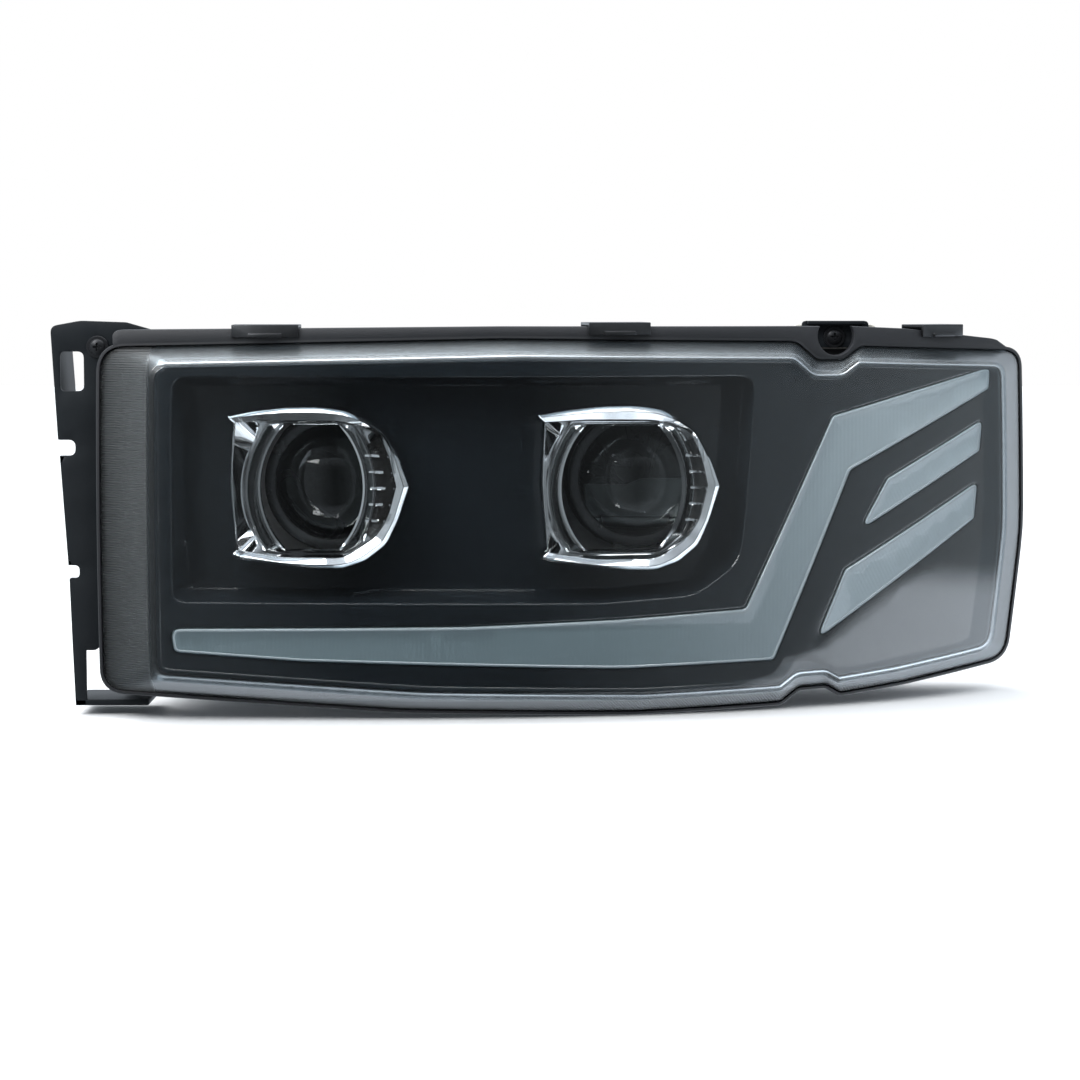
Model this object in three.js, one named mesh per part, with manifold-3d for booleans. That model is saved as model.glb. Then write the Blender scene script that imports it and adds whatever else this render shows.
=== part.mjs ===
// Headlight assembly for a heavy truck, twin projectors with a swept daytime-light bar.
// Millimetres, +Z up. The lens looks along -Y, the inboard end is at -X and the outboard end at +X.
import * as THREE from 'three';
import { mergeVertices } from 'three/addons/utils/BufferGeometryUtils.js';
import Module from 'manifold-3d';

const wasm = await Module();
wasm.setup();

// ---------------------------------------------------------------- driving dimensions
const ORIGIN = [-289, 118, 148];       // drawing point at the bracket pad that becomes the part origin
const FACE = { x0: -268, span: 560, depth: 130, power: 3.4, zMid: 120, zRun: 105, crown: 7 };
const GRID = { x0: -345, x1: 355, z0: -20, z1: 260, nx: 16, nz: 4, bias: 0.72 };
const GAP = 0.35;                      // working gap between neighbouring pieces
const NEAR_Y = -60;                    // flat plane in front of everything
const FAR_Y = 330;                     // flat plane behind everything

// Outer edge of the clear lens: x, z, corner radius.
const LENS_EDGE = [
  [-275, 235, 16], [-25, 240, 300], [165, 237.5, 12], [179, 225.5, 9], [197, 225.5, 9], [209, 234, 8],
  [325, 229.5, 12], [327, 110, 200], [317, 22, 16], [240, 12, 60], [197, 8, 5], [187, 14, 8], [168, 13.5, 8],
  [156, 4.5, 6],
  [60, 2.5, 120], [-90, 6.5, 300], [-275, 20, 14],
];
const LENS = { wall: 3, roll: 24, skirtEnd: 32, faceX: [-243, 312], faceZ: [13, 232.5] };
const RIM = { front: 24, back: 40, grooveEnd: 36, outer: 2.6, groove: 0.4, inner: 5.8 };
const TUB = { wall: 3, rearY: 212, start: 2.8, scaleX: 0.9, scaleZ: 0.85, midX: 25, midZ: 120 };
const LEDGE = [
  [-268, 222, 2], [-268, 246, 6], [-25, 248, 300], [170, 247.5, 100], [240, 245.5, 100], [306, 238, 20],
  [328, 229, 6], [300, 222, 2], [211, 226, 4], [190, 219, 4], [150, 230, 4],
];

const BEZEL = { front: 14, wall: 2.4, inset: 2, skirtEnd: 20, floor: 46, draft: 6 };
const POCKET = [
  [-229, 217, 10], [137, 216, 10], [131, 137, 60], [127, 98, 30], [98, 78, 30], [40, 74.5, 60], [-229, 77, 8],
];

// Main-beam and dipped-beam projectors. The ring is the shroud in front; its opening sits openX to the right.
const HIGH = {
  x: -132, z: 148.5, y: 68, ringX: -146, ringZ: 147, openX: 2, half: 32.3, wide: [1, 1], tall: 1,
};
const LOW = {
  x: 62, z: 148.5, y: 94, ringX: 51.5, ringZ: 145.5, openX: 0.5, half: 38.5, wide: [1.09, 0.97], tall: 1.03,
};
const SHROUD_LIP = [
  [-49.5, 46.3, 3], [-12, 51.5, 60], [25, 49.5, 20], [43, 39.5, 20], [57.5, 21, 12], [64.5, 1.8, 3],
  [57, -20, 10], [48, -36, 14], [23, -49.5, 20], [-10, -48.5, 60], [-47.5, -41.5, 3], [-47, 3, 160],
];
const SHROUD = { front: 12, back: 44, wall: 2.4, halfZ: 39.5, arc: 58, fins: 5, finStep: 10.2 };

const GUIDE_FRONT = 13;
const GUIDE_BACK = 20;
const GUIDE_MAIN = [
  [-231, 60, 6], [-44, 60.5, 200], [50.7, 63.6, 200], [131, 68, 4], [188, 190, 5], [300, 219.5, 4],
  [299, 205, 4], [200, 155, 5], [150, 34, 4], [50.9, 32, 200], [-150, 39, 200], [-229, 45, 5],
];
const GUIDE_MIDDLE = [[225.7, 148.5, 3], [294, 184.5, 3], [292, 164, 3], [207, 116, 3]];
const GUIDE_LOWER = [[197.2, 90.5, 3], [290.5, 143.5, 3], [288.5, 119.5, 3], [178.5, 46, 3]];
const TRAY = { back: 36, floor: 34, around: 4, wide: 15, room: 1.5 };
const BOARD = { front: 30, back: 31.6, inset: 1 };

const TAB = { x: 194, z: 240, y: 131 };  // top lug plate and its screw
const DIP = { x: 192, z: 241, r: 12.5, y0: 80, y1: 125 };  // dip in the ledge in front of the top screw
const CARRIER_Y = 118;                 // rear plane of both projector flanges
const FRAME_T = 4;
const BALL_Y = 130;
const PIVOT = { x: -36, z: 205, ball: 7, cup: 11 };
const LEVEL = { x: -36, z: 95, ball: 6, rod: 3 };
const SIDE = { x: 120, z: 205, ball: 6, rod: 4 };
const SOCKET = { outer: 10, room: 0.9, mouth: 5.6 };
const PROJ = {
  lensR: 40, domeR: 36.5, domeH: 16, rimT: 4, holderIn: 36, holderOut: 40, ringOut: 44, bowlR: 44,
};
const CAP = { hole: 42, collar: 46, collarEnd: 219, skirt: 49, top: 231, grip: 239 };
const MOTOR = { w: 56, h: 56, y1: 240, bore: 3.6, boreEnd: 231 };
const KNOB = { x: -36, z: 54, r: 9, stem: 3 };

const SKIN = {
  clear: ['#dfe7ea', 0.05, 0.0, 0.28], gloss: ['#121416', 0.12, 0.0], chrome: ['#e6e8ea', 0.06, 1.0],
  satin: ['#1e252a', 0.55, 0.0], black: ['#202329', 0.5, 0.0], seal: ['#0d0e0f', 0.85, 0.0],
  guide: ['#7f959e', 0.3, 0.0], tray: ['#d9dcdd', 0.6, 0.0], board: ['#1f5a3a', 0.5, 0.0],
  steel: ['#b9bcbf', 0.35, 0.9], alloy: ['#9ea2a4', 0.5, 0.8], glass: ['#5c6a68', 0.03, 0.0],
  bulb: ['#cfd6d8', 0.2, 0.1], nylon: ['#e7e6e0', 0.5, 0.0], screw: ['#17191b', 0.4, 0.6],
  zinc: ['#a7abad', 0.4, 0.8], cap: ['#25282b', 0.6, 0.0],
};

// ---------------------------------------------------------------- small helpers
function face(x, z) {
  const t = Math.max(0, (x - FACE.x0) / FACE.span);
  return FACE.depth * t ** FACE.power + FACE.crown * ((z - FACE.zMid) / FACE.zRun) ** 2;
}

function solid(geometry) {
  const bare = geometry.clone();
  bare.deleteAttribute('normal');
  bare.deleteAttribute('uv');
  const merged = mergeVertices(bare, 1e-4);
  const pos = merged.attributes.position;
  const kept = [];
  let volume = 0;
  const a = new THREE.Vector3();
  const b = new THREE.Vector3();
  const c = new THREE.Vector3();
  for (let i = 0; i < merged.index.count; i += 3) {
    const [p, q, r] = [0, 1, 2].map((k) => merged.index.getX(i + k));
    if (p === q || q === r || p === r) continue;
    a.fromBufferAttribute(pos, p);
    b.fromBufferAttribute(pos, q);
    c.fromBufferAttribute(pos, r);
    volume += a.dot(b.cross(c));
    kept.push(p, q, r);
  }
  if (volume < 0) kept.reverse();
  const mesh = new wasm.Mesh({
    numProp: 3, vertProperties: new Float32Array(pos.array), triVerts: new Uint32Array(kept),
  });
  mesh.merge();
  return new wasm.Manifold(mesh);
}

function geometryOf(manifold) {
  const mesh = manifold.getMesh();
  const g = new THREE.BufferGeometry();
  g.setAttribute('position', new THREE.BufferAttribute(new Float32Array(mesh.vertProperties), 3));
  g.setIndex(new THREE.BufferAttribute(new Uint32Array(mesh.triVerts), 1));
  g.translate(-ORIGIN[0], -ORIGIN[1], -ORIGIN[2]);
  const flat = g.toNonIndexed();
  flat.computeVertexNormals();
  return flat;
}

function box(x0, x1, y0, y1, z0, z1) {
  const g = new THREE.BoxGeometry(x1 - x0, y1 - y0, z1 - z0);
  g.translate((x0 + x1) / 2, (y0 + y1) / 2, (z0 + z1) / 2);
  return solid(g);
}

function rodY(x, z, r, y0, y1, sides = 16) {
  const g = new THREE.CylinderGeometry(r, r, y1 - y0, sides);
  g.translate(x, (y0 + y1) / 2, z);
  return solid(g);
}

function rodZ(x, y, r, z0, z1, sides = 14) {
  const g = new THREE.CylinderGeometry(r, r, z1 - z0, sides);
  g.rotateX(Math.PI / 2);
  g.translate(x, y, (z0 + z1) / 2);
  return solid(g);
}

function rodX(y, z, r, x0, x1, sides = 14) {
  const g = new THREE.CylinderGeometry(r, r, x1 - x0, sides);
  g.rotateZ(Math.PI / 2);
  g.translate((x0 + x1) / 2, y, z);
  return solid(g);
}

function ball(x, y, z, r, n = 14) {
  const g = new THREE.SphereGeometry(r, n, Math.round(n / 2));
  g.translate(x, y, z);
  return solid(g);
}

// Body of revolution about a Y axis through x, z. The profile is a list of radius, y pairs.
function turned(x, z, profile, sides = 24) {
  const g = new THREE.LatheGeometry(profile.map(([r, y]) => new THREE.Vector2(r, y)), sides);
  g.translate(x, 0, z);
  return solid(g);
}

// Corner list with radii to a smooth outline.
function rounded(corners, step = 0.6) {
  const out = [];
  const n = corners.length;
  corners.forEach(([x, z, r], i) => {
    const p = new THREE.Vector2(x, z);
    const before = new THREE.Vector2(...corners[(i + n - 1) % n].slice(0, 2)).sub(p);
    const after = new THREE.Vector2(...corners[(i + 1) % n].slice(0, 2)).sub(p);
    const room = 0.45 * Math.min(before.length(), after.length());
    const turn = before.clone().normalize().dot(after.clone().normalize());
    const half = Math.acos(THREE.MathUtils.clamp(turn, -1, 1)) / 2;
    const cut = Math.min(room, r / Math.tan(half));
    const a = p.clone().add(before.clone().setLength(cut));
    const b = p.clone().add(after.clone().setLength(cut));
    const turns = Math.max(1, Math.round((Math.PI - 2 * half) / step));
    const curve = new THREE.QuadraticBezierCurve(a, p, b);
    curve.getPoints(turns).forEach((q) => out.push([q.x, q.y]));
  });
  return out;
}

// Adds points so that no side is longer than the limit.
function dense(points, limit = 55) {
  const out = [];
  points.forEach(([x, z], i) => {
    const [u, w] = points[(i + 1) % points.length];
    const parts = Math.max(1, Math.ceil(Math.hypot(u - x, w - z) / limit));
    for (let k = 0; k < parts; k += 1) out.push([x + ((u - x) * k) / parts, z + ((w - z) * k) / parts]);
  });
  return out;
}

function signedArea(points) {
  return points.reduce((sum, [x, z], i) => {
    const [u, w] = points[(i + 1) % points.length];
    return sum + (x * w - u * z) / 2;
  }, 0);
}

// Moves every side of an outline inwards by d (outwards when d is negative).
function inset(points, d) {
  const sign = signedArea(points) > 0 ? 1 : -1;
  const n = points.length;
  const side = (a, b) => {
    const len = Math.hypot(b[0] - a[0], b[1] - a[1]);
    return [(-sign * (b[1] - a[1])) / len, (sign * (b[0] - a[0])) / len];
  };
  return points.map((p, i) => {
    const m = side(points[(i + n - 1) % n], p);
    const k = side(p, points[(i + 1) % n]);
    const scale = d / Math.max(0.3, 1 + m[0] * k[0] + m[1] * k[1]);
    return [p[0] + (m[0] + k[0]) * scale, p[1] + (m[1] + k[1]) * scale];
  });
}

// Outline pushed along Y between two flat planes.
function prism(points, y0 = NEAR_Y, y1 = FAR_Y) {
  const shape = new THREE.Shape(points.map(([x, z]) => new THREE.Vector2(x, z)));
  const g = new THREE.ExtrudeGeometry(shape, { depth: y1 - y0, bevelEnabled: false, steps: 1 });
  g.rotateX(Math.PI / 2);
  g.translate(0, y1, 0);
  return solid(g);
}

// Slab that follows the lens face, from offset a to offset b behind it.
function slab(a, b) {
  const w = GRID.x1 - GRID.x0;
  const h = GRID.z1 - GRID.z0;
  const g = new THREE.BoxGeometry(w, 2, h, GRID.nx, 1, GRID.nz);
  g.translate((GRID.x0 + GRID.x1) / 2, 0, (GRID.z0 + GRID.z1) / 2);
  const pos = g.attributes.position;
  for (let i = 0; i < pos.count; i += 1) {
    const offset = pos.getY(i) < 0 ? a : b;
    const u = (pos.getX(i) - GRID.x0) / w;
    pos.setX(i, GRID.x0 + w * Math.max(0, u) ** GRID.bias);
    pos.setY(i, face(pos.getX(i), pos.getZ(i)) + offset);
  }
  return solid(g);
}

// Skin through matching outlines. Each ring is { pts, y } (flat) or { pts, off } (follows the face).
// The first and last ring are flat and are closed with a fan.
function loft(rings) {
  const n = rings[0].pts.length;
  const pos = [];
  const idx = [];
  rings.forEach(({ pts, y, off }) => {
    pts.forEach(([x, z]) => pos.push(x, y === undefined ? face(x, z) + off : y, z));
  });
  for (let r = 0; r + 1 < rings.length; r += 1) {
    for (let i = 0; i < n; i += 1) {
      const j = (i + 1) % n;
      idx.push(r * n + i, r * n + j, (r + 1) * n + j, r * n + i, (r + 1) * n + j, (r + 1) * n + i);
    }
  }
  [rings[0], rings[rings.length - 1]].forEach(({ pts, y }, end) => {
    const base = end ? (rings.length - 1) * n : 0;
    const hub = pos.length / 3;
    pos.push(pts.reduce((t, p) => t + p[0], 0) / n, y, pts.reduce((t, p) => t + p[1], 0) / n);
    for (let i = 0; i < n; i += 1) {
      const pair = [base + i, base + ((i + 1) % n)];
      idx.push(hub, ...(end ? pair : pair.reverse()));
    }
  });
  const turn = signedArea(rings[0].pts) < 0;
  const g = new THREE.BufferGeometry();
  g.setAttribute('position', new THREE.Float32BufferAttribute(pos, 3));
  g.setIndex(turn ? idx.reverse() : idx);
  return solid(g);
}

function band(points, d0, d1, a, b) {
  return prism(inset(points, d0)).subtract(prism(inset(points, d1))).intersect(slab(a, b));
}

function join(...parts) {
  return parts.reduce((a, b) => a.add(b));
}

// ---------------------------------------------------------------- shared outlines
const edgeLine = rounded(LENS_EDGE);
const edge = dense(edgeLine);
const xs = edge.map((p) => p[0]);
const zs = edge.map((p) => p[1]);
const EX = [Math.min(...xs), Math.max(...xs)];
const EZ = [Math.min(...zs), Math.max(...zs)];
const toFace = ([x, z]) => [
  THREE.MathUtils.mapLinear(x, EX[0], EX[1], LENS.faceX[0], LENS.faceX[1]),
  THREE.MathUtils.mapLinear(z, EZ[0], EZ[1], LENS.faceZ[0], LENS.faceZ[1]),
];
const faceEdge = edge.map(toFace);
const faceLine = edgeLine.map(toFace);
const rearEdge = edge.map(([x, z]) => [
  TUB.midX + (x - TUB.midX) * TUB.scaleX,
  TUB.midZ + (z - TUB.midZ) * TUB.scaleZ,
]);
const pocketEdge = dense(rounded(POCKET), 60);

// ---------------------------------------------------------------- lens, seal, housing
function lensCone(d) {
  const near = inset(faceEdge, d);
  const far = inset(edge, d);
  return loft([{ pts: near, y: NEAR_Y }, { pts: near, off: 0 }, { pts: far, off: LENS.roll },
    { pts: far, y: FAR_Y }]);
}

function outerLens() {
  const shell = lensCone(0).intersect(slab(0, LENS.skirtEnd));
  return shell.subtract(lensCone(LENS.wall).intersect(slab(LENS.wall, LENS.skirtEnd + 20)));
}

function lensSeal() {
  return band(edgeLine, -0.05, LENS.wall + 0.05, LENS.skirtEnd + GAP, RIM.grooveEnd - GAP);
}

function tubSkin(d, rearY) {
  const front = inset(edge, TUB.start + d);
  const rear = inset(rearEdge, d);
  return loft([{ pts: front, y: NEAR_Y }, { pts: front, off: RIM.back - 2 }, { pts: rear, y: rearY }]);
}

function sideBoss() {
  const web = box(-284, -262, 62, 76, 222, 234);
  return join(rodY(-280, 235, 7.5, 58 + GAP, 80), web);
}

function footBoss() {
  return join(rodZ(-262, 85, 7, 10 + GAP, 30), box(-262, -250, 78, 92, 18, 30));
}

function topBoss() {
  return box(180, 208, TAB.y + 5 + 2 * GAP, 152, 205, 249);
}

function collar(p) {
  return rodY(p.x, p.z, CAP.collar, TUB.rearY - 1, CAP.collarEnd, 28);
}

function rearHousing() {
  const outline = prism(inset(edgeLine, -RIM.outer)).add(prism(rounded(LEDGE)));
  const rim = outline.intersect(slab(RIM.front, RIM.back));
  const tub = tubSkin(0, TUB.rearY).intersect(slab(RIM.back - 4, 400));
  const pivotBoss = rodY(PIVOT.x, PIVOT.z, 10, 198, TUB.rearY - 1);
  let body = join(rim, tub, sideBoss(), footBoss(), topBoss(), collar(HIGH), collar(LOW));
  body = body.subtract(tubSkin(TUB.wall, TUB.rearY - TUB.wall));
  body = body.subtract(band(edgeLine, -RIM.groove, LENS.wall + RIM.groove, -30, RIM.grooveEnd));
  body = body.add(pivotBoss);
  const holes = join(
    rodY(HIGH.x, HIGH.z, CAP.hole, 150, 260, 28), rodY(LOW.x, LOW.z, CAP.hole, 150, 260, 28),
    rodY(LEVEL.x, LEVEL.z, 4.2, 190, 230), rodY(KNOB.x, KNOB.z, KNOB.stem + GAP, 190, 230),
    rodY(SIDE.x, SIDE.z, 9, 190, 230), rodY(PIVOT.x, PIVOT.z, 5 + GAP, 190, 209),
    rodY(-280, 235, 2.9, 50, 77), rodZ(-262, 85, 2.9, 5, 27), rodY(TAB.x, TAB.z, 2.9, 120, 150),
    rodY(-200, 190, 5.4, 190, 230), rodY(230, 60, 5.4, 190, 230),
    rodY(DIP.x, DIP.z, DIP.r, DIP.y0, DIP.y1),
  );
  return body.subtract(holes);
}

// ---------------------------------------------------------------- bezel and shrouds
function pocketCone(d) {
  const near = inset(pocketEdge, d);
  const far = inset(pocketEdge, d + BEZEL.draft);
  return loft([{ pts: near, y: NEAR_Y }, { pts: near, off: BEZEL.front }, { pts: far, off: BEZEL.floor },
    { pts: far, y: FAR_Y }]);
}

// Barrel-shaped opening: an arc at each side and straight lines above and below.
function ringOutline(p, grow, angles) {
  const shift = SHROUD.arc - p.half;
  const r = SHROUD.arc + grow;
  return angles.map((a) => {
    const c = Math.cos(a);
    const s = Math.sin(a);
    const toBand = (SHROUD.halfZ + grow) / Math.max(1e-6, Math.abs(s));
    const k = shift * Math.abs(c);
    const d = Math.min(toBand, -k + Math.sqrt(k * k + r * r - shift ** 2));
    return [p.ringX + p.openX + d * c, p.ringZ + d * s];
  });
}

const lipEdge = dense(rounded(SHROUD_LIP, 0.45), 20);
const lipAngles = lipEdge.map(([x, z]) => Math.atan2(z, x));

function shroudCone(p, d) {
  const near = inset(lipEdge, d).map(([x, z]) => [p.ringX + x * p.wide[x < 0 ? 0 : 1], p.ringZ + z * p.tall]);
  const far = ringOutline(p, SHROUD.wall - d, lipAngles);
  return loft([{ pts: near, y: NEAR_Y }, { pts: near, off: SHROUD.front }, { pts: far, off: SHROUD.back - 3 },
    { pts: far, y: FAR_Y }]);
}

function shroud(p) {
  const inner = shroudCone(p, SHROUD.wall);
  const shell = shroudCone(p, 0).subtract(inner).intersect(slab(SHROUD.front, SHROUD.back));
  const reach = shroudCone(p, SHROUD.wall - 0.8);
  const panel = reach.subtract(inner.translate([-9, 0, 0])).intersect(slab(SHROUD.front + 9, SHROUD.back - 4));
  let body = shell;
  for (let i = 0; i < SHROUD.fins; i += 1) {
    const z = p.ringZ + (i - (SHROUD.fins - 1) / 2) * SHROUD.finStep;
    const fin = box(p.ringX + 16, p.ringX + 60, 0, 120, z - 1, z + 1).intersect(panel);
    body = body.add(fin);
  }
  return body;
}

const guideEdges = [GUIDE_MAIN, GUIDE_MIDDLE, GUIDE_LOWER].map((corners) => rounded(corners));

function innerBezel() {
  const outline = inset(faceLine, BEZEL.inset);
  const plate = prism(outline).intersect(slab(BEZEL.front, BEZEL.front + BEZEL.wall));
  const skirt = band(faceLine, BEZEL.inset, BEZEL.inset + BEZEL.wall, BEZEL.front, BEZEL.skirtEnd);
  const dish = pocketCone(-BEZEL.wall).intersect(slab(BEZEL.front, BEZEL.floor + BEZEL.wall));
  let body = join(plate, skirt, dish).subtract(pocketCone(0).intersect(slab(-40, BEZEL.floor)));
  guideEdges.forEach((pts) => { body = body.subtract(prism(inset(pts, -0.5)).intersect(slab(-10, 28))); });
  [HIGH, LOW].forEach((p) => { body = body.subtract(prism(ringOutline(p, 5, lipAngles))); });
  return body;
}

// ---------------------------------------------------------------- daytime lights
function guide(pts) {
  return prism(pts).intersect(slab(GUIDE_FRONT, GUIDE_BACK));
}

function lightTray() {
  const outer = join(prism(inset(guideEdges[0], -TRAY.around)), prism(inset(guideEdges[1], -TRAY.wide)),
    prism(inset(guideEdges[2], -TRAY.wide))).intersect(slab(GUIDE_BACK + GAP, TRAY.back));
  const rooms = guideEdges.map((pts) => prism(inset(pts, -TRAY.room))).reduce((a, b) => a.add(b));
  return outer.subtract(rooms.intersect(slab(0, TRAY.floor)));
}

function board(pts) {
  return prism(inset(pts, -BOARD.inset)).intersect(slab(BOARD.front, BOARD.back));
}

// ---------------------------------------------------------------- bracket, lug, clips
const BRACKET = [
  [-310, 248, 5], [-291, 251.5, 20], [-262, 250.5, 8], [-241, 244.5, 3], [-241, 237, 3], [-268, 236, 6],
  [-276, 226, 5], [-276, 60, 8], [-282, 41.5, 6], [-290, 41.5, 0.5], [-290, 6, 0.5], [-297, 6, 0.5],
  [-298.5, 43, 0.5], [-300, 88, 0.5], [-293.5, 88, 0.5], [-293.5, 96, 0.5], [-300.5, 96, 0.5],
  [-305, 166, 0.5], [-295, 166, 0.5], [-295, 176, 0.5], [-306, 176, 0.5],
];
const PLATE = {
  y0: 54, y1: 58, flangeEnd: 118, padX: -276, padZ: [98, 198], foot: [-297, -250, 54, 100, 6, 10],
};
const FLANGE_GAP = [-312, -290, 58.5, 113, 160, 182];   // break in the flange behind the upper notch

function sideBracket() {
  const plate = prism(rounded(BRACKET), PLATE.y0, PLATE.y1);
  const strip = prism([[-309.8, 244], [-306.8, 244], [-303, 186], [-297.5, 102], [-300.5, 102], [-306.1, 186]],
    PLATE.y0 + 1, PLATE.flangeEnd);
  const pad = box(-302, PLATE.padX, PLATE.flangeEnd - 4, PLATE.flangeEnd, ...PLATE.padZ);
  const foot = box(...PLATE.foot);
  const slot = prism(rounded([[-304, 232, 4], [-289, 232, 4], [-289, 207, 4], [-304, 207, 4]]), 40, 70);
  const holes = join(rodY(-280, 235, 2.9, 40, 70), rodZ(-262, 85, 2.9, 0, 20), slot,
    rodY(-289, 180, 4.5, 100, 130), rodY(-289, 116, 4.5, 100, 130), box(...FLANGE_GAP));
  return join(plate, strip, pad, foot).subtract(holes);
}

// Pan-head screw with a washer face and a cross recess; it points along +Y from the head.
function screwY(x, z, headY, length) {
  const body = turned(x, z, [[0, headY - 3], [4.4, headY - 2.4], [5.4, headY - 1], [7, headY - 1], [7, headY],
    [2.5, headY], [2.5, headY + length], [0, headY + length]], 14);
  const cross = join(box(x - 2.8, x + 2.8, headY - 4, headY - 1.8, z - 0.5, z + 0.5),
    box(x - 0.5, x + 0.5, headY - 4, headY - 1.8, z - 2.8, z + 2.8));
  return body.subtract(cross);
}

function footScrew() {
  const g = screwY(0, 0, 0, 18).rotate([90, 0, 0]);
  return g.translate([-262, 85, 6 - GAP]);
}

function topTab() {
  const corners = [[172, 250.5, 3], [217, 250.5, 3], [214, 233, 4], [175, 233, 4]];
  const plate = prism(rounded(corners), TAB.y, TAB.y + 3);
  const lip = box(176, 213, TAB.y - 7, TAB.y + 2, 248.2, 250.5);
  return plate.add(lip).subtract(rodY(TAB.x, TAB.z, 2.9, 110, 160));
}

function topBacking() {
  const corners = [[167, 248, 4], [222, 248, 4], [222, 232, 4], [167, 232, 4]];
  const plate = prism(rounded(corners), TAB.y + 3 + GAP, TAB.y + 5 + GAP);
  return plate.subtract(rodY(TAB.x, TAB.z, 2.9, 110, 160));
}

// Spring clip: a C section that grips the rim, turned to follow the face.
function clip(x, z, half, up) {
  const slope = (face(x + 1, z) - face(x - 1, z)) / 2;
  const y = face(x, z) + RIM.front;
  const depth = RIM.back - RIM.front;
  const s = up ? 1 : -1;
  const c = Math.cos(Math.atan(slope));
  const [a, b] = [-3 * c, depth * c + 2 + 0.012 * half * half];
  const t = 2;
  const span = (lo, hi) => (up ? [lo, hi] : [-hi, -lo]);
  const body = join(box(-half, half, a, b, ...span(0, t)), box(-half, half, a, a + t, ...span(-6, t)),
    box(-half, half, b - t, b, ...span(-6, t)), box(-half * 0.5, half * 0.5, a - 2, a + t, ...span(-6, -3.5)));
  return body.rotate([0, 0, THREE.MathUtils.radToDeg(Math.atan(slope))]).translate([x, y, z + s * GAP]);
}

// ---------------------------------------------------------------- rear services
function capSeal(p) {
  return rodY(p.x, p.z, CAP.collar, CAP.collarEnd + GAP, CAP.collarEnd + 2.4, 28)
    .subtract(rodY(p.x, p.z, CAP.hole, 200, 240, 28));
}

function twistCap(p) {
  const y0 = TUB.rearY + 1;
  const shell = turned(p.x, p.z, [[0, CAP.top], [CAP.skirt - 3, CAP.top], [CAP.skirt, CAP.top - 3],
    [CAP.skirt, y0], [CAP.collar + 0.5, y0], [CAP.collar + 0.5, CAP.collarEnd + 3],
    [CAP.collar - 8, CAP.collarEnd + 3], [CAP.collar - 8, CAP.top - 3], [0, CAP.top - 3]], 24);
  const grip = box(p.x - 34, p.x + 34, CAP.top - 1, CAP.grip, p.z - 4, p.z + 4);
  const ears = [0, 1, 2].map((k) => {
    const a = (k * 2 * Math.PI) / 3 + 0.5;
    const [cx, cz] = [p.x + (CAP.skirt + 1) * Math.cos(a), p.z + (CAP.skirt + 1) * Math.sin(a)];
    return rodY(cx, cz, 3.4, y0, CAP.top - 5, 14);
  });
  return join(shell, grip, ...ears);
}

function connector() {
  const [x, z, y0] = [-205, 72, TUB.rearY + GAP];
  const corners = [[x - 21, z + 12, 4], [x + 21, z + 12, 4], [x + 21, z - 12, 4], [x - 21, z - 12, 4]];
  const shell = prism(rounded(corners), y0, y0 + 24);
  const well = prism(rounded([[x - 18.5, z + 9.5, 3], [x + 18.5, z + 9.5, 3], [x + 18.5, z - 9.5, 3],
    [x - 18.5, z - 9.5, 3]]), y0 + 5, y0 + 30);
  const flange = box(x - 26, x + 26, y0, y0 + 3, z - 15, z + 15);
  let body = shell.add(flange).add(box(x - 5, x + 5, y0, y0 + 18, z + 11, z + 16));
  body = body.subtract(well);
  for (let i = 0; i < 10; i += 1) {
    const px = x - 14 + (i % 5) * 7;
    const pz = z + (i < 5 ? 4 : -4);
    body = body.add(box(px - 1, px + 1, y0 + 4, y0 + 17, pz - 0.7, pz + 0.7));
  }
  return body;
}

function breather(x, z) {
  const y = TUB.rearY;
  return turned(x, z, [[0, y + 12], [8, y + 12], [9, y + 10], [9, y + 5], [6, y + 4], [6, y + GAP], [5, y + GAP],
    [5, y - 6], [0, y - 6]], 16);
}

function levelMotor() {
  const { x, z } = LEVEL;
  const [w, h] = [MOTOR.w / 2, MOTOR.h / 2];
  const outline = [[x - w, z + h, 8], [x + w, z + h, 8], [x + w, z - h, 8], [x - w, z - h, 8]];
  const can = prism(rounded(outline), TUB.rearY + GAP, MOTOR.y1 - 6);
  const lid = prism(rounded(outline.map(([a, b, r]) => [x + (a - x) * 0.86, z + (b - z) * 0.86, r])),
    MOTOR.y1 - 8, MOTOR.y1);
  const plug = box(x - 14, x + 14, 216, 236, z + h - 2, z + h + 9);
  const well = box(x - 11.5, x + 11.5, 219, 240, z + h + 0.5, z + h + 6.5);
  return join(can, lid, plug).subtract(well).subtract(rodY(x, z, MOTOR.bore, 200, MOTOR.boreEnd));
}

function fluted(x, z, r, y0, y1, n = 12) {
  const pts = [];
  for (let i = 0; i < n * 2; i += 1) {
    const a = (i * Math.PI) / n;
    const rr = i % 2 ? r : r * 0.88;
    pts.push([x + rr * Math.cos(a), z + rr * Math.sin(a)]);
  }
  return prism(pts, y0, y1);
}

function levelKnob() {
  const { x, z, r, stem } = KNOB;
  const hex = rodY(x, z, 3.2, 232, 240, 6);
  const shaft = join(rodY(x, z, stem, 196, 218), rodY(x, z, 7, 198, 203), rodY(x, z, 5, 229, 235));
  return fluted(x, z, r, 216, 230).add(shaft).subtract(hex);
}

function sideBush() {
  const y = TUB.rearY;
  return turned(SIDE.x, SIDE.z, [[SIDE.rod + GAP, y - 14], [8.6, y - 14], [8.6, y + GAP], [12, y + GAP], [12, y + 3],
    [SIDE.rod + GAP, y + 3], [SIDE.rod + GAP, y - 14]], 18);
}

function sideScrew() {
  const { x, z, rod } = SIDE;
  const y = TUB.rearY + 3 + GAP;
  return join(rodY(x, z, rod, 152, y + 2), fluted(x, z, 10, y, y + 12), rodY(x, z, 5.5, y + 11, y + 16))
    .subtract(rodY(x, z, 3.2, y + 13, y + 20, 6));
}

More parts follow.
